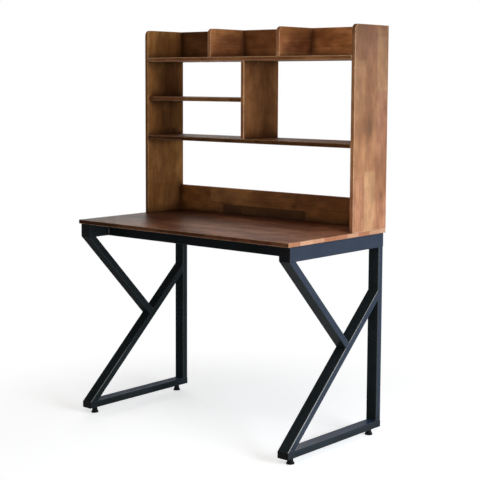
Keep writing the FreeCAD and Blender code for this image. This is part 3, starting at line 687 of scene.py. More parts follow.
@dataclass(frozen=True)
class Walnut:
    """Walnut-stained board of glued staves under a satin lacquer.

    The depth is the stain's gain. Painted light and shade lift and lower the gain by the metre along and
    across the grain, and painted shade lowers it on the broad faces towards one end of the grain, over its
    reach. The edge is a gain on the long edges that paints light and shade on them. Painted shade darkens
    the inner corners towards the corner colour, and the pale tint of the worn arrises is partly wear and
    partly a painted highlight. A reach is the range that a mask eases over, a share or film is how much of
    it shows, a rough is what it adds to the roughness, and a relief is what it adds to the height.
    """

    lay: Lay
    seed: float
    depth: float = 1.0
    stave_width: float = 0.065
    stave_length: float = 0.22
    ring_spacing: float = 0.0055
    tone_low: Span = (0.0, 0.55)
    tone_high: Span = (0.45, 1.0)
    rosy_reach: Span = (0.40, 0.95)
    ring_share: float = 0.14
    ring_more: float = 0.26
    fibre_reach: Span = (0.32, 0.66)
    fibre_share: float = 0.32
    pore_share: float = 0.30
    glue_share: float = 0.35
    stain_waves: float = 9.0
    stain_draw: float = 0.50
    amber_share: float = 0.45
    smear_gain: Span = (0.82, 1.02)
    sheen: float = 0.02
    roughness: float = 0.58
    smear_rough: float = 0.12
    pore_rough: float = 0.12
    worn_rough: float = -0.08
    ring_relief: float = -0.35
    pore_relief: float = -0.7
    glue_relief: float = -0.9
    relief_depth: float = 0.00025
    relief_share: float = 0.35
    # Painted light and shade along and across the grain, and painted shade on the broad faces towards one
    # end.
    painted_light_along: float = 0.0
    painted_light_across: float = 0.0
    dark_end: float = 0.0
    dark_reach: Span = (-0.5, -0.1)
    end_grain: float = 0.5
    end_film: float = 0.2
    sawn_ring_share: float = 0.45
    sawn_tone: Span = (0.10, 0.90)
    sawn_dark_share: float = 0.85
    # A gain on the long edges, painted light above 1 and painted shade below.
    edge: float = 1.0
    arris: float = 0.0032
    patchy: float = 0.35
    worn_reach: Span = (0.55, 0.80)
    worn_share: float = 0.92
    worn_film: float = 0.9
    lacquer: float = 0.0
    coat_roughness: float = 0.32
    coat_ior: float = 2.0
    # Painted shade: the inner corners darken towards the corner colour, over these shares of open space.
    pooled: float = 0.70
    pooled_reach: Span = (0.45, 0.95)
    corner_reach: float = 0.045
    blotch: float = 0.62
    rosiness: float = 0.60
    knots: tuple[Knot, ...] = ()
    hearts: tuple[Heartwood, ...] = ()
    dark: Colour = srgb(114, 70, 38)
    deep: Colour = srgb(148, 95, 56)
    middle: Colour = srgb(168, 111, 68)
    light: Colour = srgb(192, 135, 88)
    rosy: Colour = srgb(166, 104, 76)
    # The pale tint of the worn arrises: partly wear, partly a painted highlight.
    rubbed: Colour = srgb(238, 192, 140)
    cut: Colour = srgb(164, 120, 88)
    line: Colour = srgb(68, 42, 24)
    # The colour of the painted shade in the inner corners.
    corner: Colour = srgb(50, 27, 13)

    def material(self, name: str, middle: Vector) -> bpy.types.Material:
        """Make the board's material.

        Args:
            name: The material's name.
            middle: The board's middle in the row frame.

        Returns:
            The material.
        """
        material, graph, shader = new_material(name)
        here = graph.vector("SUBTRACT", object_place(graph), tuple(middle))
        parts = dict(zip(AXES, graph.split(here)))
        spot = tuple(parts[axis] for axis in self.lay.value)
        place = graph.join(*spot)
        cuts = {"width": self.stave_width, "length": self.stave_length, "seed": self.seed}
        staves = EFFECTS.place(graph, Effect.STAVES, vector=place, **cuts)
        rings = {"pith": staves["Pith Vector"], "spacing": self.ring_spacing}
        grain = EFFECTS.place(graph, Effect.GRAIN, vector=staves["Grain Vector"], **rings)
        drawn = graph.vector("MULTIPLY_ADD", place, (self.stain_draw, 1.0, 1.0), (self.seed, 0.0, 0.0))
        stain = EFFECTS.place(graph, Effect.MOTTLE, vector=drawn, scale=self.stain_waves)
        wear = EFFECTS.place(graph, Effect.WEAR, vector=here, width=self.arris, patches=self.patchy)
        clear = EFFECTS.place(graph, Effect.NOOK, reach=self.corner_reach)["Clear"]
        worn = graph.times(wear["Wear"], graph.ramp(clear, *self.worn_reach))
        facing = object_normal(graph)
        ends, edges, broad = (
            EFFECTS.place(graph, Effect.FACING, normal=facing, axis=way)["Square"]
            for way in (self.lay.grain, self.lay.across, self.lay.broad)
        )
        colour = self._figure(graph, staves, grain, stain)
        colour = self._marks(graph, colour, spot, staves["Joint"])
        gain = self._gain(graph, spot, broad)
        gain = graph.times(gain, graph.ramp(stain["Smear"], 0.0, 1.0, *self.smear_gain))
        # Painted light and shade on the long edges.
        gain = graph.times(gain, graph.lift(1.0, edges, self.edge - 1.0))
        colour = graph.vector("SCALE", colour, gain)
        # Painted shade: darken the inner corners, where little open space is left.
        colour = graph.blend(graph.fall(clear, *self.pooled_reach, self.pooled), colour, self.corner)
        # Pale worn arrises: partly wear, partly a painted highlight.
        colour = graph.tint(colour, self.rubbed, worn, self.worn_share)
        sawn = graph.tint(self.cut, self.middle, grain["Rings"], self.sawn_ring_share)
        sawn_dark = graph.fall(staves["Tone"], *self.sawn_tone, self.sawn_dark_share)
        sawn = graph.blend(sawn_dark, sawn, self.deep)
        graph.feed(shader.inputs["Base Color"], graph.tint(colour, sawn, ends, self.end_grain))
        film = graph.lift(graph.times(ends, self.end_film * self.end_grain), broad, self.lacquer)
        graph.feed(shader.inputs["Coat Weight"], graph.lift(film, worn, self.worn_film, clamp=True))
        shader.inputs["Coat Roughness"].default_value = self.coat_roughness
        shader.inputs["Coat IOR"].default_value = self.coat_ior
        shader.inputs["Specular IOR Level"].default_value = self.sheen
        rough = graph.lift(self.roughness - self.smear_rough / 2, stain["Smear"], self.smear_rough)
        rough = graph.lift(rough, grain["Pores"], self.pore_rough)
        graph.feed(shader.inputs["Roughness"], graph.lift(rough, worn, self.worn_rough))
        height = graph.lift(grain["Fibre"], grain["Rings"], self.ring_relief)
        height = graph.lift(height, grain["Pores"], self.pore_relief)
        height = graph.lift(height, staves["Joint"], self.glue_relief)
        bent = graph.bump(height, self.relief_depth, self.relief_share, wear["Rounded Vector"])
        graph.feed(shader.inputs["Normal"], bent)
        return material

    def _figure(self, graph: Graph, staves: Sockets, grain: Sockets, stain: Sockets) -> Socket:
        """Colour the staves, their grain and the stain's blotches.

        Args:
            graph: The material's graph.
            staves: The stave layout's outputs.
            grain: The grain's outputs.
            stain: The blotches' outputs.

        Returns:
            The colour's socket.
        """
        tone, shade = staves["Tone"], staves["Shade"]
        colour = graph.blend(graph.ramp(tone, *self.tone_low), self.deep, self.middle)
        colour = graph.blend(graph.ramp(tone, *self.tone_high), colour, self.light)
        colour = graph.blend(graph.ramp(shade, *self.rosy_reach, 0.0, self.rosiness), colour, self.rosy)
        rings = graph.times(grain["Rings"], graph.lift(self.ring_share, shade, self.ring_more))
        colour = graph.blend(rings, colour, self.dark, "MULTIPLY")
        fibres = graph.fall(grain["Fibre"], *self.fibre_reach, self.fibre_share)
        colour = graph.blend(fibres, colour, self.dark)
        colour = graph.tint(colour, self.line, grain["Pores"], self.pore_share)
        colour = graph.blend(graph.fall(stain["Blotch"], 0.0, 1.0, self.blotch), colour, self.dark)
        amber = graph.times(stain["Smear"], stain["Blotch"])
        return graph.tint(colour, self.light, amber, self.amber_share)

    def _marks(self, graph: Graph, colour: Socket, spot: tuple[Socket, ...], joint: Socket) -> Socket:
        """Lay the knots, the glue lines and the dark staves over the figure.

        Args:
            graph: The material's graph.
            colour: The figure's colour.
            spot: The place along the grain, across it and through the board.
            joint: The mask of the glue lines.

        Returns:
            The colour's socket.
        """
        along, across, through = spot
        for knot in self.knots:
            centre = (knot.along, knot.across, 0.0)
            mark = EFFECTS.place(graph, Effect.KNOT, vector=graph.join(*spot), centre=centre, size=knot.size)
            colour = graph.tint(colour, self.dark, mark["Halo"], knot.halo_share)
            colour = graph.tint(colour, self.line, mark["Heart"], knot.heart_share)
        colour = graph.tint(colour, self.line, joint, self.glue_share)
        for heart in self.hearts:
            inside = graph.ramp(through, -heart.turn, heart.turn, heart.share, heart.behind)
            for border in (
                graph.ramp(along, heart.start, heart.start + heart.start_fade),
                graph.fall(along, heart.end - heart.end_fade, heart.end),
                graph.ramp(across, heart.low, heart.low + heart.edge_fade),
                graph.fall(across, heart.high - heart.edge_fade, heart.high),
            ):
                inside = graph.times(inside, border)
            colour = graph.blend(inside, colour, self.line)
        return colour

    def _gain(self, graph: Graph, spot: tuple[Socket, ...], broad: Socket) -> Socket:
        """Paint light and shade on the board from place to place, as a gain on its colour.

        Args:
            graph: The material's graph.
            spot: The place along the grain, across it and through the board.
            broad: The mask of the broad faces.

        Returns:
            The gain's socket.
        """
        along, across, _ = spot
        # Painted light and shade along and across the grain.
        gain = graph.lift(graph.lift(self.depth, along, self.painted_light_along), across, self.painted_light_across)
        # Painted shade on the broad faces towards one end of the grain.
        end_shade_amount = graph.times(broad, graph.fall(along, *self.dark_reach, self.dark_end))
        return graph.times(gain, graph.math("SUBTRACT", 1.0, end_shade_amount))


@dataclass(frozen=True)
class Beech:
    """Raw turned beech, with the small flecks of its rays."""

    body: Colour = srgb(214, 182, 142)
    fleck: Colour = srgb(176, 136, 96)
    fleck_draw: Place = (0.06, 1.0, 1.0)
    fleck_waves: float = 700.0
    fleck_reach: Span = (0.50, 0.66)
    fleck_share: float = 0.6
    fleck_depth: float = 0.00015
    fleck_relief: float = 0.3
    blotch_waves: float = 60.0
    roughness: float = 0.6
    smear_rough: float = 0.15

    def material(self, name: str) -> bpy.types.Material:
        """Make the dowels' material.

        Args:
            name: The material's name.

        Returns:
            The material.
        """
        material, graph, shader = new_material(name)
        place = object_place(graph)
        drawn = graph.vector("MULTIPLY", place, self.fleck_draw)
        flecks = graph.ramp(graph.noise(drawn, self.fleck_waves), *self.fleck_reach)
        blotch = EFFECTS.place(graph, Effect.MOTTLE, vector=place, scale=self.blotch_waves)
        graph.feed(shader.inputs["Base Color"], graph.tint(self.body, self.fleck, flecks, self.fleck_share))
        rough = graph.lift(self.roughness, blotch["Smear"], self.smear_rough)
        graph.feed(shader.inputs["Roughness"], rough)
        graph.feed(shader.inputs["Normal"], graph.bump(flecks, self.fleck_depth, self.fleck_relief))
        return material


@dataclass(frozen=True)
class PowderCoat:
    """Satin black powder coat on steel, which sleeves and cloths burnish on the outer faces.

    The outer faces, which look away from the desk's middle, and the tops are painted lighter and bluer than
    the body, a painted light. The films are the shares of burnish on the outer faces, on the tops and under
    the short brace. On the outer faces the painted light and the burnish fade near the floor, a painted
    shade, over the heights of the floor-shade span. The arris is the burnish of the corners that look the
    rubbed way.
    """

    side: Side
    body: Colour = srgb(29, 34, 35)
    painted_side_light: Colour = srgb(31, 40, 54)
    # Painted light: the colours of the outer faces and of the tops.
    painted_top_light: Colour = srgb(31, 44, 66)
    rubbed: Colour = srgb(82, 88, 98)
    roughness: float = 0.52
    skin: float = 0.5
    skin_depth: float = 0.00012
    skin_waves: float = 700.0
    speck_share: float = 0.12
    hand_waves: float = 6.0
    hand_share: float = 0.10
    hand_rough: float = 0.10
    worn_rough: float = -0.12
    sheen: float = 0.008
    bared: float = 0.35
    bared_width: float = 0.0025
    bared_patches: float = 0.45
    film: float = 0.12
    top_film: float = 0.0
    under_film: float = 0.0
    arris: float = 1.0
    other_corners: float = 0.12
    coat_roughness: float = 0.20
    coat_ior: float = 2.2
    # Painted shade: the heights over which the outer faces' painted light and burnish fade near the floor,
    # and the share left at the floor.
    scuffed: Span = (0.025, 0.11)
    scuffed_film: float = 0.12
    rubbed_way: Place = (0.0, -0.683, 0.730)
    under_way: Place = (0.0, -0.722, -0.692)

    def material(self, name: str) -> bpy.types.Material:
        """Make the coat's material.

        Args:
            name: The material's name.

        Returns:
            The material.
        """
        material, graph, shader = new_material(name)
        place = object_place(graph)
        peel = EFFECTS.place(graph, Effect.PEEL, vector=place, scale=self.skin_waves)
        hands = EFFECTS.place(graph, Effect.MOTTLE, vector=place, scale=self.hand_waves)
        widths = {"width": self.bared_width, "patches": self.bared_patches}
        wear = EFFECTS.place(graph, Effect.WEAR, vector=place, **widths)["Wear"]
        normal = object_normal(graph)
        ways = {"axis": (float(self.side.value), 0.0, 0.0), "rubbed_way": self.rubbed_way}
        facing = EFFECTS.place(graph, Effect.FACING, normal=normal, **ways)
        tops = EFFECTS.place(graph, Effect.FACING, normal=normal, axis=(0.0, 0.0, 1.0))["Outer"]
        unders = EFFECTS.place(graph, Effect.FACING, normal=normal, axis=self.under_way)["Outer"]
        # Painted shade: the outer faces darken near the floor.
        above_floor_shade = graph.ramp(graph.split(place)[2], *self.scuffed, self.scuffed_film, 1.0)
        sides = graph.times(facing["Outer"], above_floor_shade)
        # Painted light: the outer faces and the tops are painted lighter and bluer.
        colour = graph.blend(sides, self.body, self.painted_side_light)
        colour = graph.blend(tops, colour, self.painted_top_light)
        colour = graph.tint(colour, self.rubbed, hands["Blotch"], self.hand_share)
        colour = graph.tint(colour, self.rubbed, peel["Speck"], self.speck_share)
        colour = graph.tint(colour, self.rubbed, wear, self.bared)
        graph.feed(shader.inputs["Base Color"], colour)
        rough = graph.lift(self.roughness - self.hand_rough / 2, hands["Smear"], self.hand_rough)
        graph.feed(shader.inputs["Roughness"], graph.lift(rough, wear, self.worn_rough))
        graph.feed(shader.inputs["Normal"], graph.bump(peel["Height"], self.skin_depth, self.skin))
        corners = graph.lift(facing["Rubbed"], facing["Corner"], self.other_corners)
        burnish = graph.lift(graph.times(corners, self.arris), sides, self.film)
        burnish = graph.lift(burnish, unders, self.under_film)
        graph.feed(shader.inputs["Coat Weight"], graph.lift(burnish, tops, self.top_film, clamp=True))
        shader.inputs["Coat Roughness"].default_value = self.coat_roughness
        shader.inputs["Coat IOR"].default_value = self.coat_ior
        shader.inputs["Specular IOR Level"].default_value = self.sheen
        return material


@dataclass(frozen=True)
class Metal:
    """Bare or plated metal, with turning marks and a little tarnish."""

    body: Colour
    tarnish: Colour
    roughness: float
    marks: float
    spot_waves: float = 90.0
    spot_share: float = 0.45
    spot_rough: float = 0.18
    worn_width: float = 0.0006
    worn_patches: float = 0.4
    worn_share: float = 0.5
    turned_draw: Place = (1.0, 1.0, 14.0)
    turned_waves: float = 600.0
    turned_depth: float = 0.0001

    def material(self, name: str) -> bpy.types.Material:
        """Make the metal's material.

        Args:
            name: The material's name.

        Returns:
            The material.
        """
        material, graph, shader = new_material(name)
        place = object_place(graph)
        spots = EFFECTS.place(graph, Effect.MOTTLE, vector=place, scale=self.spot_waves)
        widths = {"width": self.worn_width, "patches": self.worn_patches}
        wear = EFFECTS.place(graph, Effect.WEAR, vector=place, **widths)["Wear"]
        colour = graph.tint(self.body, self.tarnish, spots["Blotch"], self.spot_share)
        graph.feed(shader.inputs["Base Color"], graph.tint(colour, self.body, wear, self.worn_share))
        rough = graph.lift(self.roughness, spots["Smear"], self.spot_rough)
        graph.feed(shader.inputs["Roughness"], rough)
        turned = graph.noise(graph.vector("MULTIPLY", place, self.turned_draw), self.turned_waves)
        graph.feed(shader.inputs["Normal"], graph.bump(turned, self.turned_depth, self.marks))
        shader.inputs["Metallic"].default_value = 1.0
        return material


@dataclass(frozen=True)
class MouldedPlastic:
    """Black moulded plastic with a fine spark-eroded skin."""

    body: Colour = srgb(17, 18, 19)
    scuffed: Colour = srgb(62, 63, 66)
    roughness: float = 0.44
    sheen: float = 0.04
    skin_waves: float = 1500.0
    skin_depth: float = 0.00008
    skin: float = 0.4
    scuff_waves: float = 45.0
    scuff_share: float = 0.10
    scuff_rough: float = 0.14
    worn_width: float = 0.0012
    worn_patches: float = 0.6
    worn_share: float = 0.45

    def material(self, name: str) -> bpy.types.Material:
        """Make the plastic's material.

        Args:
            name: The material's name.

        Returns:
            The material.
        """
        material, graph, shader = new_material(name)
        place = object_place(graph)
        peel = EFFECTS.place(graph, Effect.PEEL, vector=place, scale=self.skin_waves)
        scuff = EFFECTS.place(graph, Effect.MOTTLE, vector=place, scale=self.scuff_waves)
        widths = {"width": self.worn_width, "patches": self.worn_patches}
        wear = EFFECTS.place(graph, Effect.WEAR, vector=place, **widths)["Wear"]
        colour = graph.tint(self.body, self.scuffed, scuff["Smear"], self.scuff_share)
        graph.feed(shader.inputs["Base Color"], graph.tint(colour, self.scuffed, wear, self.worn_share))
        rough = graph.lift(self.roughness, scuff["Blotch"], self.scuff_rough)
        graph.feed(shader.inputs["Roughness"], rough)
        graph.feed(shader.inputs["Normal"], graph.bump(peel["Height"], self.skin_depth, self.skin))
        shader.inputs["Specular IOR Level"].default_value = self.sheen
        return material


def skin(shape: bmesh.types.BMesh, rings: list[list[Vector]]) -> None:
    """Stretch a closed skin over rings of points that follow one another.

    Args:
        shape: The shape that takes the skin.
        rings: Rings with the same number of points; the first and the last are closed.
    """
    rows = [[shape.verts.new(point) for point in ring] for ring in rings]
    count = len(rows[0])
    for low, high in zip(rows, rows[1:]):
        for number in range(count):
            after = (number + 1) % count
            shape.faces.new((low[number], low[after], high[after], high[number]))
    shape.faces.new(list(reversed(rows[0])))
    shape.faces.new(rows[-1])


def make_piece(
    name: str, shape: bmesh.types.BMesh, body: str, material: bpy.types.Material
) -> bpy.types.Object:
    """Turn a shape into a piece that rides on a body.

    Args:
        name: The piece's name.
        shape: Its shape in the row frame; it is used up.
        body: The body that it rides on.
        material: Its material.

    Returns:
        The piece.
    """
    crease = math.radians(38)
    bmesh.ops.recalc_face_normals(shape, faces=shape.faces)
    mesh = bpy.data.meshes.new(name)
    shape.to_mesh(mesh)
    shape.free()
    mesh.shade_smooth()
    mesh.set_sharp_from_angle(angle=crease)
    mesh.materials.append(material)
    piece = bpy.data.objects.new(name, mesh)
    bpy.context.scene.collection.objects.link(piece)
    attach(piece, body)
    LOG.info("%s rides on %s with %d faces", name, body, len(mesh.polygons))
    return piece


def dress(node: str, material: bpy.types.Material) -> None:
    """Give a CAD node its material in every slot.

    Args:
        node: The node's name.
        material: The material.
    """
    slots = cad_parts[node].data.materials
    if not slots:
        slots.append(material)
    for index in range(len(slots)):
        slots[index] = material
    LOG.info("%s wears %s", node, material.name)


def middle_of(node: str) -> Vector:
    """Return the middle of a CAD node's box."""
    low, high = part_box(node)
    return (low + high) / 2


@dataclass
class Boards:
    """The desktop and the hutch's boards, each with its own cut of staves."""

    finishes: dict[str, Walnut]

    def dress(self) -> None:
        """Dress each board from its own finish."""
        for node, finish in self.finishes.items():
            dress(node, finish.material(f"walnut_{node}", middle_of(node)))


@dataclass
class SideFrame:
    """One welded side frame, with the weld beads in its inner corners."""

    side: Side
    tubes: tuple[str, ...] = ("top_rail", "bottom_rail", "rear_post", "long_brace", "short_brace")
    inner: float = 0.452
    outer: float = 0.497
    front: float = -0.265
    rear: float = 0.265
    top_rail_under: float = 0.675
    bottom_rail_top: float = 0.049
    thick: float = 0.025
    long_angle: float = math.radians(43.1)
    short_angle: float = math.radians(46.2)
    corner_round: float = 0.0025
    sunk: float = 0.0003
    bead_leg: float = 0.0042
    bead_steps: int = 96
    bead_spots: int = 8
    flat_share: float = 0.82
    ripple_pitch: float = 0.0034
    ripple_share: float = 0.13
    ripple_shift: float = 0.37
    ripple_peak: float = 0.45
    ripple_fall: float = 2.2
    wander_share: float = 0.07
    wander_waves: float = 410.0
    wander_shift: float = 1.7
    taper_start: float = 0.45
    taper_rise: float = 9.0

    def dress(self, coat: bpy.types.Material) -> None:
        """Give each tube of the frame the powder coat."""
        for tube in self.tubes:
            dress(f"{self.side.word}_{tube}", coat)

    def build(self, coat: bpy.types.Material) -> None:
        """Lay the weld beads along the frame's inner corners.

        Args:
            coat: The unrubbed coat that the beads wear.
        """
        shape = bmesh.new()
        for number, (corner, first, second) in enumerate(self._corners()):
            self._bead(shape, number, corner, first, second)
        make_piece(f"{self.side.word}_weld_beads", shape, ROOT, coat)

    def _corners(self) -> list[tuple[Vector, Vector, Vector]]:
        """Find the frame's inner corners.

        Returns:
            Each corner and the directions of the two faces that leave it, in Y and Z.
        """
        up = Vector((math.cos(self.long_angle), math.sin(self.long_angle)))
        down = Vector((math.cos(self.short_angle), -math.sin(self.short_angle)))
        long_foot = Vector((self.front, self.bottom_rail_top))
        long_under = long_foot + Vector((self.thick / up.y, 0.0))
        short_head = Vector((self.front, self.top_rail_under))
        short_over = short_head + Vector((self.thick / -down.y, 0.0))
        post = self.rear - self.thick
        back = Vector((1.0, 0.0))
        rise = Vector((0.0, 1.0))
        return [
            (short_over, back, down),
            (self._meet(short_head, down, long_foot, up), -down, -up),
            (self._meet(short_over, down, long_foot, up), -down, up),
            (long_under, back, up),
            (long_foot + up * ((post - long_foot.x) / up.x), rise, -up),
            (long_under + up * ((post - long_under.x) / up.x), -rise, -up),
            (Vector((post, self.top_rail_under)), -back, -rise),
            (Vector((post, self.bottom_rail_top)), -back, rise),
        ]

    @staticmethod
    def _meet(first: Vector, along: Vector, second: Vector, way: Vector) -> Vector:
        """Find where two lines in a plane cross.

        Args:
            first: A point on the first line.
            along: The first line's direction.
            second: A point on the second line.
            way: The second line's direction.

        Returns:
            The crossing.
        """
        gap = second - first
        return first + along * ((gap.x * way.y - gap.y * way.x) / (along.x * way.y - along.y * way.x))

    def _bead(
        self, shape: bmesh.types.BMesh, number: int, corner: Vector, first: Vector, second: Vector
    ) -> None:
        """Lay one bead: a rippled fillet from the tube's inner side to its outer one.

        Args:
            shape: The shape that takes the bead.
            number: Which corner this is, which sets where its ripples fall.
            corner: The corner in Y and Z.
            first: The first face's direction away from the corner.
            second: The second face's direction away from it.
        """
        start = self.inner + self.corner_round
        end = self.outer - self.corner_round
        inward = -(first + second).normalized()
        rings = []
        for step in range(self.bead_steps + 1):
            share = step / self.bead_steps
            place = start + (end - start) * share
            wave = math.fmod(place / self.ripple_pitch + self.ripple_shift * number, 1.0)
            ripple = 1.0 + self.ripple_share * (1.0 - self.ripple_fall * abs(wave - self.ripple_peak))
            sway = math.sin(place * self.wander_waves + self.wander_shift * number)
            taper = min(1.0, self.taper_start + self.taper_rise * min(share, 1.0 - share))
            leg = self.bead_leg * (1.0 + self.wander_share * sway) * taper
            ring = [corner + inward * self.sunk]
            for spot in range(self.bead_spots + 1):
                turn = spot / self.bead_spots
                chord = (corner + first * leg).lerp(corner + second * leg, turn)
                swell = (ripple - self.flat_share) * leg * math.sin(math.pi * turn)
                sunk = self.sunk if spot in (0, self.bead_spots) else 0.0
                ring.append(chord - inward * swell + inward * sunk)
            rings.append([Vector((self.side.value * place, point.x, point.y)) for point in ring])
        skin(shape, rings)


@dataclass
class CrossRails:
    """The two rails under the desktop with their end plates."""

    rails: tuple[str, ...] = ("front_cross_rail", "rear_cross_rail")
    plates: str = "cross_rail_plates"
    # Painted highlight: the pale colour along the plates' edges and its width.
    edge_glint: Colour = srgb(222, 218, 212)
    glint_width: float = 0.005

    def dress(self, coat: bpy.types.Material) -> None:
        """Give the rails the powder coat, and the plates one with a pale painted highlight along their
        edges.

        Args:
            coat: The rails' coat.
        """
        for node in self.rails:
            dress(node, coat)
        # Painted highlight: near-white edges on the plates.
        bared = PowderCoat(Side.RIGHT, rubbed=self.edge_glint, bared=1.0, bared_width=self.glint_width)
        dress(self.plates, bared.material("bared_powder_coat"))


@dataclass
class Hardware:
    """Fasteners, cams, dowels and caps."""

    steel: tuple[str, ...] = (
        "plate_bolts",
        "plate_nuts",
        "desktop_bolts",
        "desktop_inserts",
        "cam_bolts",
        "long_screws",
        "back_screws",
        "foot_nuts",
    )
    plated: Metal = Metal(srgb(196, 197, 200), srgb(150, 150, 152), 0.30, 0.3)
    cast: Metal = Metal(srgb(186, 187, 192), srgb(128, 129, 134), 0.42, 0.2)

    def dress(self) -> None:
        """Give each fastener its metal, the dowels their wood and the caps their plastic."""
        plated = self.plated.material("plated_steel")
        for node in self.steel:
            dress(node, plated)
        dress("cam_locks", self.cast.material("cast_zinc"))
        dress("dowels", Beech().material("turned_beech"))
        dress("tube_caps", MouldedPlastic().material("cap_plastic"))


@dataclass
class LevellingFoot:
    """One levelling foot: a flared pad and the threaded stud that turns it out.

    The profiles of the pin and the recess are radii with heights above the pin's tip and the floor. The
    collar's are shares of its height with the round that chamfers it, as a share of its flats.
    """

    side: Side
    end: End
    across: float = 0.4745
    along: float = 0.225
    segments: int = 48
    base_radius: float = 0.014
    rim: float = 0.005
    neck_radius: float = 0.0095
    pad_height: float = 0.019
    recess: tuple[Span, ...] = ((0.0085, 0.0006), (0.0105, 0.0006), (0.0111, 0.0))
    sole_round: float = 0.0013
    sole_steps: int = 4
    rim_lip: float = 0.0014
    bell_step: float = 0.0006
    bell_drop: float = 0.0007
    bell_power: float = 2.6
    bell_steps: int = 16
    crown: float = 0.0003
    mouth_land: float = 0.0008
    mouth_round: float = 0.0005
    socket_tip: float = 0.0008
    socket_dip: float = 0.0004
    pin_radius: float = 0.005
    pin_length: float = 0.011
    pin: tuple[Span, ...] = (
        (0.0042, 0.0002),
        (0.0048, 0.0008),
        (0.0048, 0.0028),
        (0.0041, 0.0032),
        (0.0041, 0.0046),
        (0.0048, 0.0050),
        (0.0048, 0.0108),
    )
    play: float = 0.0002
    collar_flats: float = 0.013
    collar_height: float = 0.0046
    collar: tuple[Span, ...] = (
        (0.0, 0.97),
        (0.12, 1.05),
        (0.24, 1.16),
        (0.76, 1.16),
        (0.88, 1.05),
        (1.0, 0.97),
    )
    stud_radius: float = 0.004
    stud_length: float = 0.020
    pitch: float = 0.00125
    thread_share: float = 0.61
    thread_steps: int = 8
    thread_run_in: float = 0.0011
    thread_run_out: float = 0.0012
    root_start: float = 0.0001
    thread_start: float = 0.0003
    thread_end: float = 0.0004
    top_round: float = 0.0004
    crest_play: float = 0.00003
    ridge_peak: float = 1.30
    ridge_fall: float = 2.7

    @property
    def word(self) -> str:
        """The foot's name as the nodes spell it."""
        return f"{self.end.word}_{self.side.word}"

    def build(self, plastic: bpy.types.Material, steel: bpy.types.Material) -> None:
        """Turn the pad and cut the stud's thread.

        Args:
            plastic: The pad's material.
            steel: The stud's material.
        """
        pad = bmesh.new()
        skin(pad, [self._round(radius, height) for radius, height in self._pad_profile()])
        piece = make_piece(f"pad_{self.word}_bell", pad, f"pad_{self.word}", plastic)
        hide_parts(f"foot_pad_{self.word}")
        stud = bmesh.new()
        skin(stud, self._stud_rings())
        piece = make_piece(f"stud_{self.word}_thread", stud, f"stud_{self.word}", steel)
        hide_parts(f"foot_stud_{self.word}")

    def _ring(self, height: float, radius: Callable[[float], float]) -> list[Vector]:
        """Set out a ring of points about the foot's axis.

        Args:
            height: The ring's height.
            radius: The radius at an angle.

        Returns:
            The points.
        """
        middle = Vector((self.side.value * self.across, self.end.value * self.along, height))
        angles = [2 * math.pi * number / self.segments for number in range(self.segments)]
        return [middle + Vector((math.cos(a), math.sin(a), 0.0)) * radius(a) for a in angles]

    def _round(self, radius: float, height: float) -> list[Vector]:
        """Return a round ring of points about the foot's axis."""
        return self._ring(height, lambda angle: radius)

    def _pad_profile(self) -> list[Span]:
        """Draw the pad's outline from its recessed underside, up the bell and down into the pin's socket.

        Returns:
            Radii with their heights.
        """
        sole = self.base_radius - self.sole_round
        outline = [*self.recess, (sole, 0.0)]
        for step in range(1, self.sole_steps + 1):
            turn = math.pi / 2 * step / self.sole_steps
            rise = self.sole_round - self.sole_round * math.cos(turn)
            outline.append((sole + self.sole_round * math.sin(turn), rise))
        outline.append((self.base_radius, self.rim - self.rim_lip))
        spread = self.base_radius - self.bell_step - self.neck_radius
        for step in range(self.bell_steps + 1):
            rise = step / self.bell_steps
            radius = self.neck_radius + spread * (1.0 - rise) ** self.bell_power
            height = self.rim - self.bell_drop + (self.pad_height - self.crown - self.rim) * rise
            outline.append((radius, height))
        socket = self.pin_radius + self.play
        floor = self.pad_height - self.pin_length
        return outline + [
            (self.neck_radius - self.mouth_land, self.pad_height),
            (socket + self.mouth_round, self.pad_height),
            (socket, self.pad_height - self.mouth_round),
            (socket, floor),
            (self.socket_tip, floor - self.socket_dip),
        ]

    def _hex(self, room: float) -> Callable[[float], float]:
        """Draw the six-sided collar, held inside a round.

        Args:
            room: The round's radius.

        Returns:
            The radius as a function of the angle.
        """
        flat = self.collar_flats / 2
        sixth = math.pi / 3

        def radius(angle: float) -> float:
            """Return the radius at an angle."""
            return min(room, flat / math.cos((angle + sixth / 2) % sixth - sixth / 2))

        return radius

    def _stud_rings(self) -> list[list[Vector]]:
        """Set out the stud: the pin with its snap groove, the chamfered collar and the thread.

        Returns:
            The stud's rings from its tip to its top.
        """
        foot = self.pad_height + self.play
        collar_top = foot + self.collar_height
        top = foot + self.collar_height + self.play + self.stud_length
        flat = self.collar_flats / 2
        tip = foot - self.pin_length
        rings = [self._round(radius, tip + rise) for radius, rise in self.pin]
        for share, spread in self.collar:
            rings.append(self._ring(foot + self.collar_height * share, self._hex(flat * spread)))
        core = self.stud_radius - self.thread_share * self.pitch
        rings.append(self._round(core, collar_top + self.root_start))
        rise = self.pitch / self.thread_steps
        for step in range(math.floor((top - collar_top - self.thread_end) / rise)):
            height = collar_top + self.thread_start + step * rise
            run_in = (height - collar_top) / self.thread_run_in
            fade = min(1.0, run_in, (top - height) / self.thread_run_out)
            rings.append(self._ring(height, self._thread(height, core, fade)))
        rings.append(self._round(core - self.top_round, top))
        return rings

    def _thread(self, height: float, core: float, fade: float) -> Callable[[float], float]:
        """Draw the right-hand thread at one height.

        Args:
            height: The height.
            core: The radius at the thread's root.
            fade: The share of the thread's full depth.

        Returns:
            The radius as a function of the angle.
        """
        crest = self.stud_radius - self.crest_play

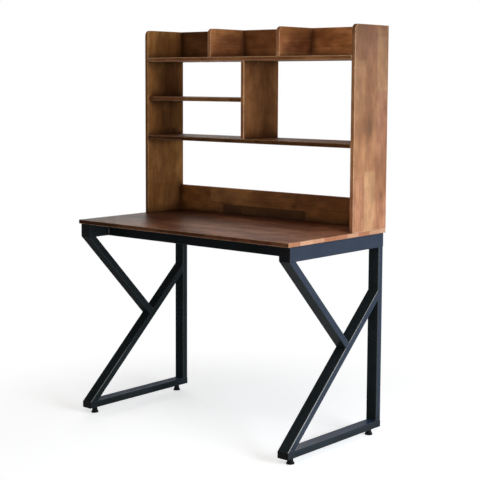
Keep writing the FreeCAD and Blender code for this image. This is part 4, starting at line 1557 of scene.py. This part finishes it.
        def radius(angle: float) -> float:
            """Cut the thread at an angle, flat at its crest and root.

            Args:
                angle: The angle about the foot's axis.

            Returns:
                The radius.
            """
            phase = (height / self.pitch - angle / (2 * math.pi)) % 1.0
            ridge = min(1.0, max(0.0, self.ridge_peak - self.ridge_fall * abs(phase - 0.5)))
            return core + (crest - core) * ridge * fade

        return radius


@dataclass
class Lamp:
    """One soft area lamp that the camera does not see."""

    name: str
    place: Place
    aim: Place
    size: float
    power: float
    tint: Colour

    def build(self) -> None:
        """Hang the lamp and turn it to its aim."""
        light = bpy.data.lights.new(self.name, "AREA")
        light.shape = "DISK"
        light.size = self.size
        light.energy = self.power
        light.color = self.tint
        lamp = bpy.data.objects.new(self.name, light)
        lamp.location = self.place
        lamp.rotation_euler = (Vector(self.aim) - Vector(self.place)).to_track_quat("-Z", "Y").to_euler()
        lamp.visible_camera = False
        bpy.context.scene.collection.objects.link(lamp)


@dataclass
class Studio:
    """The pale floor, the soft lamps and the camera."""

    eye: Place = (2.8862, -3.2821, 1.2495)
    yaw: float = 0.7115
    pitch: float = -0.1013
    roll: float = 0.0044
    focal_pixels: float = 1211.03
    centre_row: float = 206.0
    picture: float = 480.0
    sensor: float = 36.0
    sight: float = 100.0
    ambient: float = 0.11
    room_tint: Colour = (1.0, 0.97, 0.92)
    floor_reach: float = 30.0
    floor_grit: tuple[Colour, Colour] = ((0.80, 0.80, 0.80), (0.84, 0.84, 0.84))
    grit_waves: float = 3.0
    floor_shown: Colour = (0.76, 0.76, 0.77)
    floor_glow: float = 0.57
    floor_fade: Span = (0.60, 1.35)
    lamps: tuple[Lamp, ...] = (
        Lamp("key", (3.2, 0.0, 1.05), (0.4, 0.05, 0.95), 2.0, 122.0, (0.86, 0.94, 1.0)),
        Lamp("far_fill", (-3.0, 2.4, 1.6), (-0.2, 0.1, 0.8), 2.4, 45.0, (1.0, 0.99, 0.97)),
        Lamp("top_fill", (1.3, -1.1, 3.4), (0.0, 0.0, 0.8), 2.0, 30.0, (1.0, 0.96, 0.90)),
    )

    def build(self) -> None:
        """Set the stage: the floor, the backdrop, the lamps and the camera."""
        self._floor()
        self._world()
        for lamp in self.lamps:
            lamp.build()
        self._camera()
        bpy.context.scene.view_settings.view_transform = "Standard"

    @staticmethod
    def _seen(graph: Graph) -> Socket:
        """Mark the rays that show the backdrop: camera, glossy and transmitted ones.

        Args:
            graph: The graph that takes the mark.

        Returns:
            The socket of a number that is 1 for those rays.
        """
        path = graph.add("ShaderNodeLightPath")
        shown = graph.math("MAXIMUM", path.outputs["Is Camera Ray"], path.outputs["Is Glossy Ray"])
        return graph.math("MAXIMUM", shown, path.outputs["Is Transmission Ray"])

    @staticmethod
    def _mix(graph: Graph, share: Socket, first: Socket, second: Socket) -> Socket:
        """Mix two shaders.

        Args:
            graph: The graph that takes the mix.
            share: The share of the second shader.
            first: The first shader.
            second: The second shader.

        Returns:
            The mixed shader's socket.
        """
        node = graph.add("ShaderNodeMixShader")
        for socket, value in zip(node.inputs, (share, first, second)):
            graph.feed(socket, value)
        return node.outputs[0]

    def _floor(self) -> None:
        """Lay a pale floor that stays near white and keeps the desk's shadow."""
        mesh = bpy.data.meshes.new("floor")
        shape = bmesh.new()
        bmesh.ops.create_grid(shape, x_segments=4, y_segments=4, size=self.floor_reach)
        shape.to_mesh(mesh)
        shape.free()
        floor = bpy.data.objects.new("floor", mesh)
        bpy.context.scene.collection.objects.link(floor)
        material = bpy.data.materials.new("pale_floor")
        material.use_nodes = True
        material.node_tree.nodes.clear()
        graph = Graph(material.node_tree)
        place = object_place(graph)
        bounce = graph.add("ShaderNodeBsdfDiffuse")
        grit = graph.blend(graph.noise(place, self.grit_waves), *self.floor_grit)
        graph.feed(bounce.inputs["Color"], grit)
        soft = graph.add("ShaderNodeBsdfDiffuse")
        graph.feed(soft.inputs["Color"], self.floor_shown)
        glow = graph.add("ShaderNodeEmission")
        graph.feed(glow.inputs["Strength"], self.floor_glow)
        near = graph.add("ShaderNodeAddShader")
        graph.feed(near.inputs[0], soft.outputs[0])
        graph.feed(near.inputs[1], glow.outputs[0])
        white = graph.add("ShaderNodeEmission")
        far = graph.ramp(graph.vector("LENGTH", place), *self.floor_fade)
        shown = self._mix(graph, far, near.outputs[0], white.outputs[0])
        end = graph.add("ShaderNodeOutputMaterial")
        graph.feed(end.inputs["Surface"], self._mix(graph, self._seen(graph), bounce.outputs[0], shown))
        mesh.materials.append(material)

    def _world(self) -> None:
        """Light the room dimly and show a white backdrop."""
        world = bpy.data.worlds.new("studio")
        world.use_nodes = True
        world.node_tree.nodes.clear()
        graph = Graph(world.node_tree)
        room = graph.add("ShaderNodeBackground")
        graph.feed(room.inputs["Color"], self.room_tint)
        graph.feed(room.inputs["Strength"], self.ambient)
        backdrop = graph.add("ShaderNodeBackground")
        graph.feed(backdrop.inputs["Color"], (1.0, 1.0, 1.0))
        graph.feed(backdrop.inputs["Strength"], 1.0)
        end = graph.add("ShaderNodeOutputWorld")
        shown = self._mix(graph, self._seen(graph), room.outputs[0], backdrop.outputs[0])
        graph.feed(end.inputs["Surface"], shown)
        bpy.context.scene.world = world

    def _camera(self) -> None:
        """Stand the camera at the picture's viewpoint."""
        flat = math.cos(self.pitch)
        ahead = Vector((-math.sin(self.yaw) * flat, math.cos(self.yaw) * flat, math.sin(self.pitch)))
        level = Vector((math.cos(self.yaw), math.sin(self.yaw), 0.0))
        over = level.cross(ahead)
        right = math.cos(self.roll) * level + math.sin(self.roll) * over
        up = -math.sin(self.roll) * level + math.cos(self.roll) * over
        data = bpy.data.cameras.new("camera")
        data.sensor_width = self.sensor
        data.lens = self.focal_pixels / self.picture * self.sensor
        data.shift_y = (self.centre_row - self.picture / 2) / self.picture
        data.clip_end = self.sight
        camera = bpy.data.objects.new("camera", data)
        turn = Matrix((right, up, -ahead)).transposed().to_4x4()
        camera.matrix_world = Matrix.Translation(self.eye) @ turn
        bpy.context.scene.collection.objects.link(camera)
        bpy.context.scene.camera = camera


def board_finishes() -> dict[str, Walnut]:
    """Choose each board's own finish.

    Returns:
        The finishes by node.
    """
    golden = {
        "deep": srgb(148, 97, 50),
        "middle": srgb(168, 113, 62),
        "light": srgb(192, 137, 80),
        "rosy": srgb(166, 107, 67),
    }
    # Wider worn arrises, whose pale tint is partly wear and partly a painted highlight.
    bold_arris = {"arris": 0.0052, "patchy": 0.25}
    return {
        "desktop": Walnut(
            Lay.FLAT,
            2.3,
            0.60,
            sheen=0.003,
            roughness=0.46,
            stave_length=0.42,
            # Painted light and shade: lighter towards the right end and the front, the broad faces darker
            # towards the left end, and the long edges darker.
            painted_light_along=0.50,
            painted_light_across=-0.45,
            dark_end=0.50,
            end_grain=0.85,
            edge=0.62,
            arris=0.0040,
            lacquer=0.05,
            blotch=0.70,
            dark=srgb(96, 50, 30),
            deep=srgb(140, 84, 54),
            middle=srgb(166, 105, 71),
            light=srgb(202, 140, 102),
            cut=srgb(184, 144, 118),
        ),
        # Painted shade: a little darker towards the top.
        "hutch_left_side": Walnut(
            Lay.UPRIGHT, 5.1, 0.85, painted_light_along=-0.05, knots=(Knot(0.08, 0.03, 0.02),), **golden
        ),
        "hutch_right_side": Walnut(
            Lay.UPRIGHT,
            31.55,
            0.81,
            # Painted light: lighter towards the bottom, and lighter on the long edges.
            painted_light_along=-0.85,
            edge=1.6,
            lacquer=0.31,
            blotch=0.52,
            rosiness=0.72,
            deep=srgb(156, 103, 68),
            middle=srgb(174, 119, 80),
            light=srgb(183, 137, 98),
            rosy=srgb(160, 101, 78),
            knots=(Knot(0.012, -0.008, 0.046), Knot(-0.235, 0.070, 0.016)),
        ),
        "top_shelf": Walnut(Lay.FLAT, 17.2, **bold_arris),
        # Painted shade on the long edges.
        "middle_shelf": Walnut(Lay.FLAT, 23.9, 0.52, edge=0.75),
        "small_shelf": Walnut(Lay.FLAT, 31.5, 0.75),
        # Painted light on the long edges.
        "middle_divider": Walnut(Lay.UPRIGHT, 71.4, 0.73, edge=1.75, **bold_arris),
        "top_divider_left": Walnut(Lay.DEEP, 71.63, 1.30),
        "top_divider_right": Walnut(Lay.DEEP, 74.56, 1.28),
        # Painted light: lighter towards the right end.
        "top_back_board": Walnut(Lay.BACK, 67.28, 1.37, painted_light_along=2.0),
        "low_back_board": Walnut(
            Lay.BACK,
            66.1,
            # Painted light and shade: the high depth lifts this board, which stands in shade, and it darkens
            # towards the desktop.
            1.80,
            painted_light_across=5.0,
            lacquer=0.10,
            knots=(Knot(0.10, 0.0, 0.02),),
            hearts=(Heartwood(-0.26, 0.155, -0.06, -0.012),),
            **golden,
        ),
    }


def main() -> None:
    """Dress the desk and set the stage."""
    logging.basicConfig(level=logging.INFO, format="%(name)s: %(message)s")
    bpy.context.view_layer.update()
    # Each frame's coat paints light on the faces that look out from its own side.
    finishes = (PowderCoat(Side.LEFT), PowderCoat(Side.RIGHT, top_film=0.15, under_film=0.07))
    coats = {coat.side: coat.material(f"black_powder_coat_{coat.side.word}") for coat in finishes}
    unrubbed = PowderCoat(Side.RIGHT, bared=0.0, film=0.0, arris=0.0)
    bead_coat = unrubbed.material("black_powder_coat_beads")
    Boards(board_finishes()).dress()
    for side, coat in coats.items():
        side_frame = SideFrame(side)
        side_frame.dress(coat)
        side_frame.build(bead_coat)
    CrossRails().dress(coats[Side.RIGHT])
    Hardware().dress()
    plastic = MouldedPlastic().material("foot_plastic")
    stud_steel = Metal(srgb(188, 189, 192), srgb(140, 140, 142), 0.32, 0.3).material("stud_steel")
    for side in Side:
        for end in End:
            LevellingFoot(side, end).build(plastic, stud_steel)
    Studio().build()


if __name__ == "__main__":
    main()
